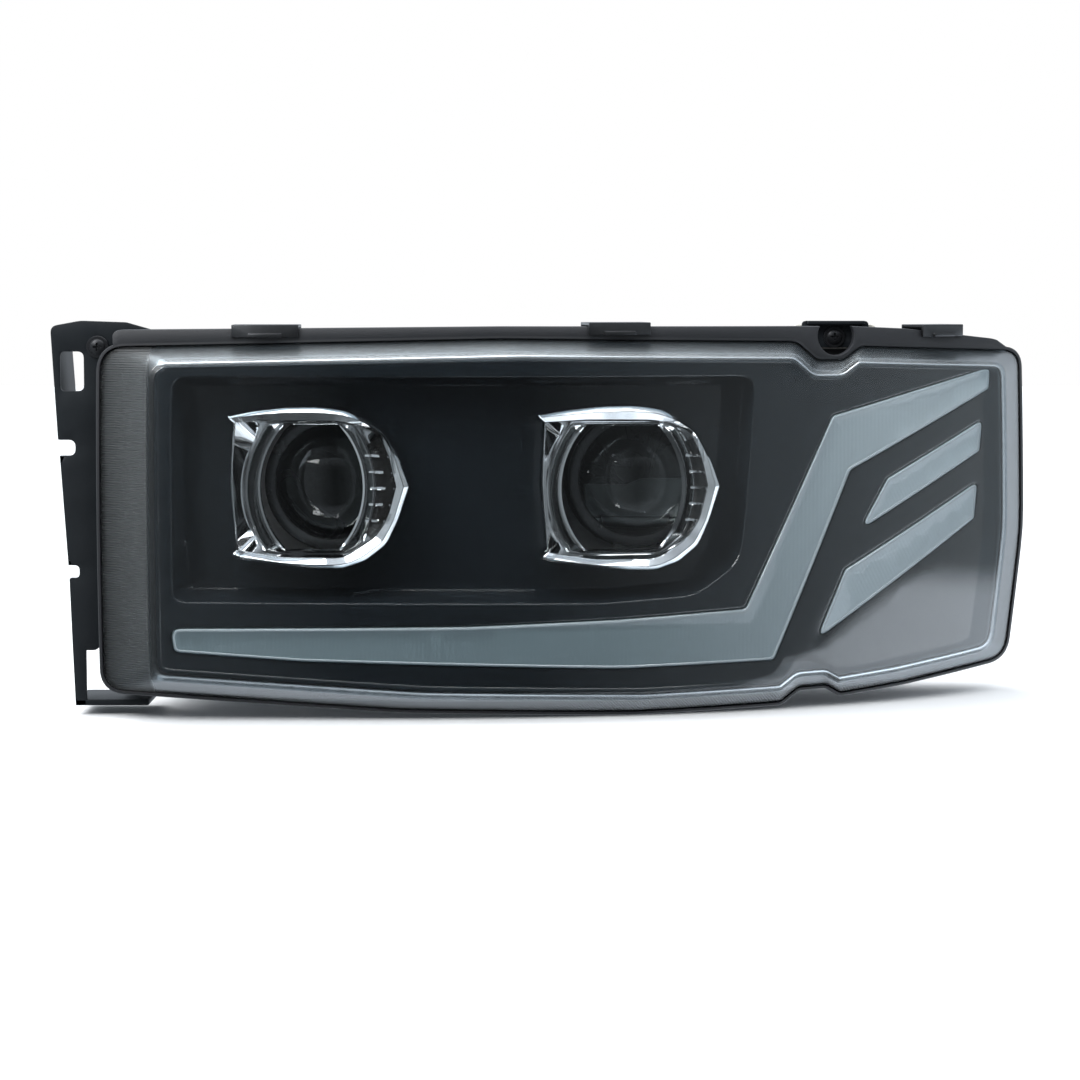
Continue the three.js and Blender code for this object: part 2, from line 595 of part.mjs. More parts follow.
function sideNut() {
  const { x, z, rod } = SIDE;
  const block = box(x - 7, x + 7, 139, 172, z - 7, z + 7);
  const body = join(ball(x, BALL_Y, z, SIDE.ball), rodY(x, z, 3.2, BALL_Y, 140), block);
  return body.subtract(rodY(x, z, rod + GAP, 144, 180));
}

function levelRod() {
  const { x, z } = LEVEL;
  return join(ball(x, BALL_Y, z, LEVEL.ball), rodY(x, z, LEVEL.rod, BALL_Y, 222));
}

function pivotStud() {
  const { x, z } = PIVOT;
  return join(ball(x, BALL_Y, z, PIVOT.ball, 14), rodY(x, z, 4, BALL_Y, 196), rodY(x, z, 5, 192, 208));
}

// ---------------------------------------------------------------- carrier and projectors
function pivotCup() {
  const { x, z } = PIVOT;
  const mouth = turned(x, z, [[0, BALL_Y], [4.6, BALL_Y + 3], [7.5, BALL_Y + 14], [0, BALL_Y + 14]], 14);
  const keep = box(x - 20, x + 20, BALL_Y - 9.5, BALL_Y + 5, z - 20, z + 20);
  const trimmed = ball(x, BALL_Y, z, PIVOT.cup, 14).intersect(keep);
  return trimmed.subtract(ball(x, BALL_Y, z, PIVOT.ball + 0.5, 14)).subtract(mouth);
}

function ballSocket(p, r) {
  const y0 = CARRIER_Y + FRAME_T + 2 * GAP;
  const y1 = BALL_Y + 5;
  const body = turned(p.x, p.z, [[0, y0 - 6], [4, y0 - 6], [4, y0], [SOCKET.outer, y0], [SOCKET.outer, y1 - 2],
    [SOCKET.outer - 2, y1], [0, y1]], 14);
  const mouth = turned(p.x, p.z, [[0, BALL_Y], [SOCKET.mouth - 0.6, BALL_Y + 2], [SOCKET.mouth + 1.4, y1 + 1],
    [0, y1 + 1]], 10);
  return body.subtract(ball(p.x, BALL_Y, p.z, r + SOCKET.room, 10)).subtract(mouth);
}

function carrierFrame() {
  const y0 = CARRIER_Y + GAP;
  const y1 = y0 + FRAME_T;
  const plate = prism(rounded([[-186, 206, 16], [-60, 222, 16], [136, 222, 14], [136, 190, 14], [112, 84, 20],
    [-10, 78, 10], [-62, 78, 10], [-182, 90, 20]]), y0, y1);
  const tube = rodY(PIVOT.x, PIVOT.z, 15, y0, BALL_Y + 6, 20);
  const ribs = join(box(-75, 5, y0, y1 + 6, 146, 150), box(-38.5, -33.5, y0, y1 + 6, 107, 191.5));
  const cuts = join(rodY(HIGH.x, HIGH.z, 41, 90, 160, 28), rodY(LOW.x, LOW.z, 41, 90, 160, 28),
    rodY(PIVOT.x, PIVOT.z, PIVOT.cup + 0.4, 90, 160, 20), rodY(LEVEL.x, LEVEL.z, 4.3, 90, 160),
    rodY(SIDE.x, SIDE.z, 4.3, 90, 160), box(-70, -54, 100, 140, 110, 141), box(-18, -2, 100, 140, 110, 141),
    box(-70, -54, 100, 140, 156, 185), box(-18, -2, 100, 140, 156, 185));
  return join(plate, tube, ribs).subtract(cuts);
}

function projectorHolder(p) {
  const { holderIn, holderOut } = PROJ;
  const y0 = p.y + PROJ.rimT + GAP;
  const tube = turned(p.x, p.z, [[holderIn, y0], [holderOut, y0], [holderOut, CARRIER_Y - 4], [47, CARRIER_Y - 4],
    [47, CARRIER_Y], [holderIn, CARRIER_Y], [holderIn, y0]], 22);
  const windows = join(box(p.x - 60, p.x + 60, y0 + 7, CARRIER_Y - 7, p.z - 9, p.z + 9));
  return tube.subtract(windows);
}

function projectorLens(p) {
  const { lensR, domeR, domeH, rimT } = PROJ;
  const r = (domeR ** 2 + domeH ** 2) / (2 * domeH);
  const profile = [];
  const steps = 5;
  const top = Math.asin(domeR / r);
  for (let i = 0; i <= steps; i += 1) {
    const a = (top * i) / steps;
    profile.push([r * Math.sin(a), p.y - domeH + r * (1 - Math.cos(a))]);
  }
  profile.push([lensR, p.y], [lensR, p.y + rimT], [0, p.y + rimT]);
  return turned(p.x, p.z, profile, 26);
}

function lensRing(p) {
  const { lensR, ringOut, domeR } = PROJ;
  const inR = lensR + GAP;
  return turned(p.x, p.z, [[domeR + 0.6, p.y - GAP], [domeR + 0.6, p.y - 2.6], [ringOut - 1, p.y - 2.6],
    [ringOut, p.y - 1.6], [ringOut, p.y + 9], [inR, p.y + 9], [inR, p.y - GAP], [domeR + 0.6, p.y - GAP]], 24);
}

function bowl(p) {
  const y0 = CARRIER_Y + FRAME_T + 2 * GAP;
  const deep = 46;
  const outer = [];
  const inner = [];
  const steps = 4;
  for (let i = 0; i <= steps; i += 1) {
    const a = (i / steps) * 1.28;
    outer.push([PROJ.bowlR * Math.cos(a), y0 + 2 + deep * Math.sin(a)]);
    inner.push([(PROJ.bowlR - 2.2) * Math.cos(a), y0 + 2 + (deep - 2.2) * Math.sin(a)]);
  }
  const profile = [[PROJ.bowlR - 2.2, y0], [47, y0], [47, y0 + 2], ...outer, [10.5, y0 + 52], [9, y0 + 52],
    [9, y0 + 43], ...inner.reverse(), [PROJ.bowlR - 2.2, y0]];
  return turned(p.x, p.z, profile, 20);
}

function bulb(p) {
  return turned(p.x, p.z, [[0, 140], [4.5, 142], [6, 146], [6, 166], [8, 168], [8, 175.2], [15, 175.2], [15, 178],
    [11, 179], [11, 190], [0, 190]], 14);
}

function bulbPlug(p) {
  const y0 = 190 + GAP;
  const latch = box(p.x - 4, p.x + 4, y0, y0 + 9, p.z + 7, p.z + 11);
  const body = box(p.x - 10, p.x + 10, y0, y0 + 14, p.z - 8, p.z + 8).add(latch);
  const wells = join(box(p.x - 6.5, p.x - 2.5, y0 + 7, y0 + 20, p.z - 3, p.z + 3),
    box(p.x + 2.5, p.x + 6.5, y0 + 7, y0 + 20, p.z - 3, p.z + 3));
  return body.subtract(wells);
}

const SHUTTER = { y: 110, z: 126, half: 26, pin: 1.3, height: 20 };

function shutterPin() {
  return rodX(SHUTTER.y, SHUTTER.z, SHUTTER.pin, LOW.x - SHUTTER.half, LOW.x + SHUTTER.half, 16);
}

function cutoffShutter() {
  const { y, z, half } = SHUTTER;
  const blade = prism([[LOW.x - half, z + 1], [LOW.x - half, z + 19], [LOW.x - 4, z + 19], [LOW.x + 3, z + 22],
    [LOW.x + half, z + 22], [LOW.x + half, z + 1]], y - 0.7, y + 0.7);
  const barrel = rodX(y, z, 3.2, LOW.x - 18, LOW.x + 18, 18);
  return join(blade.subtract(rodX(y, z, 2.2, LOW.x - 40, LOW.x + 40)), barrel)
    .subtract(rodX(y, z, SHUTTER.pin + 0.4, LOW.x - 40, LOW.x + 40, 16));
}

function solenoid() {
  return join(box(LOW.x - 14, LOW.x + 14, 103.6, 113.6, 90, 107.5), rodX(108.5, 98, 5, LOW.x + 12, LOW.x + 22));
}

// ---------------------------------------------------------------- assembly
const PARTS = [
  ['rear_housing', 'black', rearHousing], ['outer_lens', 'clear', outerLens], ['lens_seal', 'seal', lensSeal],
  ['inner_bezel', 'gloss', innerBezel], ['high_beam_shroud', 'chrome', () => shroud(HIGH)],
  ['low_beam_shroud', 'chrome', () => shroud(LOW)], ['drl_guide_main', 'guide', () => guide(guideEdges[0])],
  ['drl_guide_middle', 'guide', () => guide(guideEdges[1])],
  ['drl_guide_lower', 'guide', () => guide(guideEdges[2])], ['drl_tray', 'tray', lightTray],
  ['drl_board_main', 'board', () => board(guideEdges[0])],
  ['drl_board_middle', 'board', () => board(guideEdges[1])],
  ['drl_board_lower', 'board', () => board(guideEdges[2])], ['side_bracket', 'satin', sideBracket],
  ['bracket_screw', 'screw', () => screwY(-280, 235, PLATE.y0 - GAP, 20)], ['foot_screw', 'screw', footScrew],
  ['top_tab', 'satin', topTab], ['top_tab_backing', 'zinc', topBacking],
  ['top_tab_screw', 'screw', () => screwY(TAB.x, TAB.z, TAB.y - GAP, 16)],
  ['lens_clip_top_1', 'steel', () => clip(-172, 246.9, 21, true)],
  ['lens_clip_top_2', 'steel', () => clip(50, 248.1, 20, true)],
  ['lens_clip_top_3', 'steel', () => clip(266, 245.6, 18, true)],
  ['main_connector', 'black', connector], ['breather_inboard', 'seal', () => breather(-200, 190)],
  ['breather_outboard', 'seal', () => breather(230, 60)], ['level_motor', 'cap', levelMotor],
  ['pivot_stud', 'zinc', pivotStud], ['side_bush', 'nylon', sideBush],
  ['high_cap_seal', 'seal', () => capSeal(HIGH)], ['low_cap_seal', 'seal', () => capSeal(LOW)],
  ['high_beam_cap', 'cap', () => twistCap(HIGH)], ['low_beam_cap', 'cap', () => twistCap(LOW)],
  ['pivot_cup', 'nylon', pivotCup], ['carrier_frame', 'alloy', carrierFrame],
  ['high_projector_holder', 'alloy', () => projectorHolder(HIGH)],
  ['low_projector_holder', 'alloy', () => projectorHolder(LOW)],
  ['high_projector_lens', 'glass', () => projectorLens(HIGH)],
  ['low_projector_lens', 'glass', () => projectorLens(LOW)],
  ['high_lens_ring', 'zinc', () => lensRing(HIGH)], ['low_lens_ring', 'zinc', () => lensRing(LOW)],
  ['high_reflector', 'alloy', () => bowl(HIGH)], ['low_reflector', 'alloy', () => bowl(LOW)],
  ['high_bulb', 'bulb', () => bulb(HIGH)], ['low_bulb', 'bulb', () => bulb(LOW)],
  ['high_bulb_plug', 'black', () => bulbPlug(HIGH)], ['low_bulb_plug', 'black', () => bulbPlug(LOW)],
  ['level_socket', 'nylon', () => ballSocket(LEVEL, LEVEL.ball)],
  ['side_socket', 'nylon', () => ballSocket(SIDE, SIDE.ball)],
  ['shutter_pin', 'steel', shutterPin], ['shutter_solenoid', 'zinc', solenoid],
  ['cutoff_shutter', 'steel', cutoffShutter],
  ['level_rod', 'nylon', levelRod], ['level_knob', 'nylon', levelKnob],
  ['side_screw', 'nylon', sideScrew], ['side_ball_nut', 'nylon', sideNut],
];

const assembly = new THREE.Group();
assembly.name = 'headlight_assembly';
PARTS.forEach(([name, skin, make]) => {
  const [color, roughness, metalness, opacity] = SKIN[skin];
  const material = new THREE.MeshStandardMaterial({ color, roughness, metalness });
  material.name = skin;
  if (opacity) {
    material.transparent = true;
    material.opacity = opacity;
  }
  const mesh = new THREE.Mesh(geometryOf(make()), material);
  mesh.name = name;
  assembly.add(mesh);
});

export default assembly;
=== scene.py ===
# %% [markdown]
# # A truck headlight in Blender
# The lamp is a black tub closed by a clear cover. Behind the cover sit a gloss black bezel, two chrome
# shrouds round the projector lenses, and frosted light guides for the daytime light. All shapes share one
# swept front surface, so the pieces are drawn flat, in millimetres, and then pushed back onto that surface.
# That way every outline can be read like a pattern on paper.

# %% Load the measured model
import math
import bmesh
import bpy
import numpy as np
from mathutils import Matrix, Vector
from mathutils.geometry import delaunay_2d_cdt


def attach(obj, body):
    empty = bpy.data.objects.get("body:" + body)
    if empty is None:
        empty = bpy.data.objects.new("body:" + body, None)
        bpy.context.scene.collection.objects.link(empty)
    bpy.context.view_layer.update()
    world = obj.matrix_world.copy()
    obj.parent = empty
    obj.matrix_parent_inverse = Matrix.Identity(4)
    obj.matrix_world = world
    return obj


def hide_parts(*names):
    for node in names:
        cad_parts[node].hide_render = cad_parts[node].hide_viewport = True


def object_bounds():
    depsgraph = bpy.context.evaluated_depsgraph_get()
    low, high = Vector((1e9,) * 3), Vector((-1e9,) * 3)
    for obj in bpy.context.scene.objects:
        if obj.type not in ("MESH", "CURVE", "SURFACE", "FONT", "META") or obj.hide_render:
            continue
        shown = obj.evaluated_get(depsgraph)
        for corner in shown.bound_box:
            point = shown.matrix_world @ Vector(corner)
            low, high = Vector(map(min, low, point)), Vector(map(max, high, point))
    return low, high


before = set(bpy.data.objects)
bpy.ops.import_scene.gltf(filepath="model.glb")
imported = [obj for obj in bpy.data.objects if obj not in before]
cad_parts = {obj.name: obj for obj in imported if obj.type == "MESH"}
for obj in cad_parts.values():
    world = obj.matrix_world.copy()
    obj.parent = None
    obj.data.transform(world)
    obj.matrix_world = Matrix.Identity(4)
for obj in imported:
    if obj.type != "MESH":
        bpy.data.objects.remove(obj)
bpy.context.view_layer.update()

# %% [markdown]
# ## Drawing in millimetres
# A maker's drawing has its own zero. Here x runs along the lamp, z up and y back into the vehicle, and the
# part's origin is the bracket pad. `put` turns a drawing point into metres in the part's frame, so the rest
# of the lesson can use plain drawing numbers.

# %% Drawing frame and the swept front surface
PAD = (-289.0, 118.0, 148.0)


def put(x, y, z):
    return ((x - PAD[0]) / 1000, (y - PAD[1]) / 1000, (z - PAD[2]) / 1000)


def sweep(x, z):
    """Depth of the lamp's front at x, z: flat at the inboard end, wrapping back at the outboard end."""
    t = np.maximum(0.0, (np.asarray(x, float) + 268) / 560)
    return 130 * t ** 3.4 + 7 * ((np.asarray(z, float) - 120) / 105) ** 2


print("front surface falls back", round(float(sweep(326, 120)), 1), "mm at the outboard end")

# %% [markdown]
# ## Outlines
# An outline is a list of corners, each with a radius. `rounded` turns it into points on smooth corners,
# `dense` adds points along the straight runs so that they can bend with the surface, and `inset` moves the
# whole line inwards, as a tailor marks a seam allowance.

# %% Outline helpers
def rounded(corners, step=0.14):
    out = []
    n = len(corners)
    for i, (x, z, r) in enumerate(corners):
        p = Vector((x, z))
        before = Vector(corners[i - 1][:2]) - p
        after = Vector(corners[(i + 1) % n][:2]) - p
        room = 0.45 * min(before.length, after.length)
        half = before.angle(after) / 2
        cut = min(room, r / math.tan(half))
        a = p + before.normalized() * cut
        b = p + after.normalized() * cut
        turns = max(2, round((math.pi - 2 * half) / step))
        for k in range(turns + 1):
            t = k / turns
            out.append(tuple(a * (1 - t) ** 2 + p * 2 * t * (1 - t) + b * t * t))
    return np.array(out)


def dense(points, limit=8.0):
    out = []
    for a, b in zip(points, np.roll(points, -1, axis=0)):
        parts = max(1, math.ceil(np.linalg.norm(b - a) / limit))
        out += [a + (b - a) * k / parts for k in range(parts)]
    out = np.array(out)
    keep = np.linalg.norm(out - np.roll(out, 1, axis=0), axis=1) > 1e-4
    return out[keep]


def area_of(points):
    nxt = np.roll(points, -1, axis=0)
    return float(np.sum(points[:, 0] * nxt[:, 1] - nxt[:, 0] * points[:, 1])) / 2


def inset(points, d):
    sign = 1 if area_of(points) > 0 else -1
    ahead = np.roll(points, -1, axis=0) - points
    ahead /= np.linalg.norm(ahead, axis=1)[:, None]
    side = sign * np.stack([-ahead[:, 1], ahead[:, 0]], axis=1)
    last = np.roll(side, 1, axis=0)
    scale = d / np.maximum(0.35, 1 + np.sum(side * last, axis=1))
    out = points + (side + last) * scale[:, None]
    for _ in range(30):
        turned_back = np.where(np.sum((np.roll(out, -1, axis=0) - out) * ahead, axis=1) < 0)[0]
        if len(turned_back) == 0:
            break
        for i in turned_back:
            j = (i + 1) % len(out)
            out[i] = out[j] = (out[i] + out[j]) / 2
    return out


def inside(q, points):
    x, z = q[:, 0][:, None], q[:, 1][:, None]
    a, b = points, np.roll(points, -1, axis=0)
    spans = (a[None, :, 1] > z) != (b[None, :, 1] > z)
    rise = np.where(b[:, 1] == a[:, 1], 1e-9, b[:, 1] - a[:, 1])
    cross = (b[:, 0] - a[:, 0]) * (z - a[:, 1]) / rise + a[:, 0]
    return np.sum(spans & (x < cross), axis=1) % 2 == 1


print("outline helpers ready")

# %% [markdown]
# ## A form that follows the surface
# Sheet parts such as a cover or a bezel could be cut with booleans, but boolean edges spoil the
# reflections of a glossy surface. `Form` builds them from rings instead: one ring per line of the
# cross-section, bridged with quads, and flat areas filled with an even triangle net. Rounded edges come
# from extra rings.

# %% The Form builder
class Form:
    def __init__(self):
        self.points, self.faces, self.marks = [], [], []

    def ring(self, outline, depth):
        y = sweep(outline[:, 0], outline[:, 1]) + depth if np.isscalar(depth) else depth(outline)
        start = len(self.points)
        self.points += [(p[0], d, p[1]) for p, d in zip(outline, np.broadcast_to(y, len(outline)))]
        return list(range(start, start + len(outline)))

    def bridge(self, a, b, mark=0, close=True):
        n = len(a)
        for i in range(n if close else n - 1):
            j = (i + 1) % n
            self.faces.append((a[i], a[j], b[j], b[i]))
            self.marks.append(mark)

    def wall(self, outline, profile, mark=0):
        """Rings for a cross-section given as (inset, depth) pairs."""
        rings = [self.ring(inset(outline, d), y) for d, y in profile]
        for a, b in zip(rings, rings[1:]):
            self.bridge(a, b, mark)
        return rings

    def fill(self, border, holes=(), step=9.0, depth=0.0, mark=0):
        loops = [border, *holes]
        ids = [i for loop in loops for i in loop]
        flat = np.array([(self.points[i][0], self.points[i][2]) for i in ids])
        flat = flat.astype(np.float32).astype(float)
        edges, start = [], 0
        for loop in loops:
            edges += [(start + k, start + (k + 1) % len(loop)) for k in range(len(loop))]
            start += len(loop)
        outlines, start = [], 0
        for loop in loops:
            outlines.append(flat[start:start + len(loop)])
            start += len(loop)
        low, high = outlines[0].min(axis=0), outlines[0].max(axis=0)
        gx, gz = np.meshgrid(np.arange(low[0], high[0], step), np.arange(low[1], high[1], step * 0.9))
        gx = gx + (np.arange(gx.shape[0]) % 2)[:, None] * step / 2
        grid = np.stack([gx.ravel(), gz.ravel()], axis=1)
        grid = grid[inside(grid, outlines[0])]
        for hole in outlines[1:]:
            grid = grid[~inside(grid, hole)]
        near = np.min(np.linalg.norm(grid[:, None, :] - flat[None, :, :], axis=2), axis=1)
        grid = grid[near > step * 0.45]
        exact = np.vstack([flat, grid.astype(np.float32)])
        verts, _, tris, origin, _, _ = delaunay_2d_cdt([Vector(p) for p in exact], edges, [], 0, 1e-7)
        table, place = [], []
        for v, source in zip(verts, origin):
            spot = exact[min(source)] if source else np.array(v)
            place.append(spot)
            if source and min(source) < len(ids):
                table.append(ids[min(source)])
            else:
                y = float(sweep(*spot)) + depth if np.isscalar(depth) else float(depth(spot[None])[0])
                self.points.append((spot[0], y, spot[1]))
                table.append(len(self.points) - 1)
        mid = np.array([(place[a] + place[b] + place[c]) / 3 for a, b, c in tris])
        keep = inside(mid, outlines[0])
        for hole in outlines[1:]:
            keep &= ~inside(mid, hole)
        for k, (a, b, c) in zip(keep, tris):
            if k and len({table[a], table[b], table[c]}) == 3:
                self.faces.append((table[a], table[b], table[c]))
                self.marks.append(mark)

    def mesh(self, name, sharp=32):
        data = bpy.data.meshes.new(name)
        data.from_pydata([put(*p) for p in self.points], [], self.faces)
        data.polygons.foreach_set("material_index", self.marks)
        bm = bmesh.new()
        bm.from_mesh(data)
        bmesh.ops.remove_doubles(bm, verts=bm.verts, dist=2e-6)
        bmesh.ops.dissolve_degenerate(bm, edges=bm.edges, dist=2e-6)
        bmesh.ops.recalc_face_normals(bm, faces=bm.faces)
        bm.to_mesh(data)
        bm.free()
        data.shade_smooth()
        data.set_sharp_from_angle(angle=math.radians(sharp))
        return data


def piece(name, data, finish, body="housing", stands_for=(), slot=None):
    ob = bpy.data.objects.new(name, data)
    bpy.context.scene.collection.objects.link(ob)
    for material in finish if isinstance(finish, (list, tuple)) else [finish]:
        ob.data.materials.append(material)
    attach(ob, body)
    if stands_for:
        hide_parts(*stands_for)
    print("made", name, len(ob.data.polygons), "faces")
    return ob


def level(y):
    """A depth function for parts that lie on a flat plane instead of the swept surface."""
    return lambda outline: np.full(len(outline), float(y))


print("form builder ready")

# %% [markdown]
# ## Shared surface effects
# Moulded plastic, powder coat, rubber and metal all need a little unevenness: a grain that catches light, a
# slow change of tone, and a few hairline marks. Each effect is a node group, built once, and every material
# places it with its own scale. The groups only give out values; the shader itself stays in the material.

# %% Node group helpers
def new_group(title, inputs, outputs):
    tree = bpy.data.node_groups.new(title, "ShaderNodeTree")
    for label, value in inputs:
        socket = tree.interface.new_socket(label, in_out="INPUT", socket_type="NodeSocketFloat")
        socket.default_value = value
    for label in outputs:
        tree.interface.new_socket(label, in_out="OUTPUT", socket_type="NodeSocketFloat")
    return tree, tree.nodes.new("NodeGroupInput"), tree.nodes.new("NodeGroupOutput")


def add(tree, kind, links=None, **settings):
    node = tree.nodes.new(kind)
    for key, value in settings.items():
        setattr(node, key, value)
    for key, value in (links or {}).items():
        if isinstance(value, bpy.types.NodeSocket):
            tree.links.new(value, node.inputs[key])
        else:
            node.inputs[key].default_value = value
    return node


def reckon(tree, operation, a, b=0.0, c=None):
    links = {0: a, 1: b} if c is None else {0: a, 1: b, 2: c}
    return add(tree, "ShaderNodeMath", links, operation=operation).outputs[0]


def ramp(tree, value, low, high, to_low=0.0, to_high=1.0):
    links = {"Value": value, "From Min": low, "From Max": high, "To Min": to_low, "To Max": to_high}
    return add(tree, "ShaderNodeMapRange", links, interpolation_type="SMOOTHSTEP").outputs[0]


def noise(tree, where, scale, detail=3.0, rough=0.55):
    links = {"Vector": where, "Scale": scale, "Detail": detail, "Roughness": rough}
    return add(tree, "ShaderNodeTexNoise", links).outputs["Fac"]


# %% Grain, tone and hairline groups
def grain_group():
    tree, start, end = new_group("moulded grain", [("Scale", 2500.0), ("Pits", 0.4)], ["Height", "Tone"])
    where = add(tree, "ShaderNodeTexCoord").outputs["Object"]
    fine = noise(tree, where, start.outputs["Scale"], 2.0)
    pits = add(tree, "ShaderNodeTexVoronoi", {"Vector": where,
                                              "Scale": start.outputs["Scale"]}).outputs["Distance"]
    mixed = reckon(tree, "MULTIPLY_ADD", pits, start.outputs["Pits"], fine)
    tree.links.new(mixed, end.inputs["Height"])
    slow = noise(tree, where, 14.0, 3.0)
    patchy = noise(tree, where, 160.0, 2.0)
    tone = reckon(tree, "MULTIPLY_ADD", patchy, 0.3, reckon(tree, "MULTIPLY", slow, 0.7))
    tree.links.new(tone, end.inputs["Tone"])
    return tree


def hairline_group():
    tree, start, end = new_group("hairlines", [("Scale", 60.0), ("Amount", 0.3)], ["Marks"])
    where = add(tree, "ShaderNodeTexCoord").outputs["Object"]
    total = None
    for turn in (0.4, 1.7, 2.6):
        spun = add(tree, "ShaderNodeMapping", {"Vector": where, "Rotation": (turn, turn * 0.7, 0.3 * turn),
                                               "Scale": (1.0, 0.03, 1.0)}).outputs[0]
        line = noise(tree, spun, start.outputs["Scale"], 6.0, 0.7)
        line = ramp(tree, line, 0.62, 0.72)
        total = line if total is None else reckon(tree, "MAXIMUM", total, line)
    tree.links.new(reckon(tree, "MULTIPLY", total, start.outputs["Amount"]), end.inputs["Marks"])
    return tree


def dust_group():
    tree, start, end = new_group("settled dust", [("Amount", 0.1)], ["Mask"])
    shape = add(tree, "ShaderNodeNewGeometry")
    up = add(tree, "ShaderNodeSeparateXYZ", {0: shape.outputs["Normal"]}).outputs[2]
    flat = ramp(tree, up, 0.2, 0.95)
    where = add(tree, "ShaderNodeTexCoord").outputs["Object"]
    specks = ramp(tree, noise(tree, where, 900.0, 4.0, 0.7), 0.45, 0.75)
    drift = noise(tree, where, 30.0, 3.0)
    mask = reckon(tree, "MULTIPLY", flat, reckon(tree, "MULTIPLY", specks, drift))
    tree.links.new(reckon(tree, "MULTIPLY", mask, start.outputs["Amount"]), end.inputs["Mask"])
    return tree


GRAIN, HAIR, DUST = grain_group(), hairline_group(), dust_group()
print("groups:", [g.name for g in (GRAIN, HAIR, DUST)])

# %% [markdown]
# ## Opaque finishes
# Every solid finish on the lamp comes from one recipe: two close tones mixed by the tone value, roughness
# raised by hairlines and dust, and a small bump from the grain. What differs between powder coat, chrome
# and rubber is only the numbers, so the recipe is a function and the numbers are its arguments.

# %% The opaque recipe
def opaque(title, dark, light, rough, metal=0.0, coat=0.0, grain=(2500.0, 0.4), bump=0.15, hair=0.05,
           dust=0.15):
    material = bpy.data.materials.new(title)
    material.use_nodes = True
    tree = material.node_tree
    shader = tree.nodes["Principled BSDF"]
    shader.inputs["Metallic"].default_value = metal
    shader.inputs["Coat Weight"].default_value = coat
    shader.inputs["Coat Roughness"].default_value = 0.04
    skin = add(tree, "ShaderNodeGroup", node_tree=GRAIN)
    skin.inputs["Scale"].default_value, skin.inputs["Pits"].default_value = grain
    lines = add(tree, "ShaderNodeGroup", {"Amount": hair}, node_tree=HAIR)
    settled = add(tree, "ShaderNodeGroup", node_tree=DUST)
    settled.inputs["Amount"].default_value = dust
    tone = add(tree, "ShaderNodeMix", data_type="RGBA")
    tone.inputs[6].default_value = (*dark, 1)
    tone.inputs[7].default_value = (*light, 1)
    tree.links.new(skin.outputs["Tone"], tone.inputs[0])
    dusty = add(tree, "ShaderNodeMix", data_type="RGBA")
    dusty.inputs[7].default_value = (0.42, 0.41, 0.39, 1)
    tree.links.new(tone.outputs[2], dusty.inputs[6])
    tree.links.new(settled.outputs["Mask"], dusty.inputs[0])
    tree.links.new(dusty.outputs[2], shader.inputs["Base Color"])
    worn = reckon(tree, "ADD", lines.outputs["Marks"],
                  reckon(tree, "MULTIPLY_ADD", skin.outputs["Tone"], 0.12, rough - 0.06))
    tree.links.new(reckon(tree, "MULTIPLY_ADD", settled.outputs["Mask"], 0.4, worn),
                   shader.inputs["Roughness"])
    relief = add(tree, "ShaderNodeBump", {"Strength": bump, "Distance": 0.0002,
                                          "Height": skin.outputs["Height"]})
    tree.links.new(relief.outputs[0], shader.inputs["Normal"])
    return material


POWDER = opaque("bracket powder coat", (0.006, 0.008, 0.010), (0.011, 0.014, 0.017), 0.5,
                grain=(1500.0, 0.6), bump=0.35)
POWDER.node_tree.nodes["Principled BSDF"].inputs["Specular IOR Level"].default_value = 0.2
HOUSING = opaque("housing plastic", (0.012, 0.013, 0.016), (0.020, 0.021, 0.024), 0.5,
                 grain=(1800.0, 0.7), bump=0.3)
BEZEL = opaque("bezel gloss black", (0.006, 0.0085, 0.0105), (0.010, 0.013, 0.016), 0.1, coat=0.2,
               grain=(45.0, 0.0), bump=0.03, hair=0.02, dust=0.0)
CHROME = opaque("shroud chrome", (0.80, 0.81, 0.82), (0.88, 0.885, 0.89), 0.075, metal=1.0,
                grain=(260.0, 0.0), bump=0.015, hair=0.03, dust=0.0)
VENT = opaque("vent floor black", (0.006, 0.006, 0.006), (0.012, 0.012, 0.012), 0.25, bump=0.1, dust=0.0)
RUBBER = opaque("seal rubber", (0.008, 0.008, 0.008), (0.015, 0.015, 0.015), 0.8, grain=(1200.0, 0.5),
                bump=0.4)
SPRING = opaque("clip spring steel", (0.05, 0.052, 0.055), (0.09, 0.092, 0.096), 0.34, metal=0.9,
                bump=0.1, hair=0.2)
ZINC = opaque("zinc plate", (0.42, 0.44, 0.45), (0.56, 0.57, 0.57), 0.34, metal=0.9, grain=(700.0, 0.6),
              bump=0.15, hair=0.15)
SCREW = opaque("black screw steel", (0.012, 0.013, 0.015), (0.03, 0.031, 0.034), 0.3, metal=0.5,
               bump=0.12, hair=0.2)
ALLOY = opaque("cast alloy", (0.30, 0.31, 0.32), (0.42, 0.43, 0.44), 0.5, metal=0.9, grain=(900.0, 0.8),
               bump=0.4)
DARK_RING = opaque("lens ring satin", (0.10, 0.105, 0.11), (0.16, 0.165, 0.17), 0.25, metal=0.9,
                   bump=0.05, dust=0.0)
NYLON = opaque("natural nylon", (0.58, 0.56, 0.50), (0.70, 0.68, 0.61), 0.45, bump=0.15)
TRAY = opaque("tray grey", (0.40, 0.42, 0.43), (0.50, 0.51, 0.52), 0.5, bump=0.15, dust=0.0)
BOARD = opaque("board green", (0.010, 0.07, 0.03), (0.02, 0.11, 0.05), 0.35, coat=0.3, bump=0.1, dust=0.0)
CAP = opaque("cap nylon black", (0.012, 0.012, 0.013), (0.022, 0.022, 0.023), 0.48, grain=(1400.0, 0.6),
             bump=0.3)
TUNNEL = opaque("projector inside black", (0.006, 0.007, 0.007), (0.014, 0.015, 0.015), 0.4, metal=0.3,
                bump=0.1, dust=0.0)
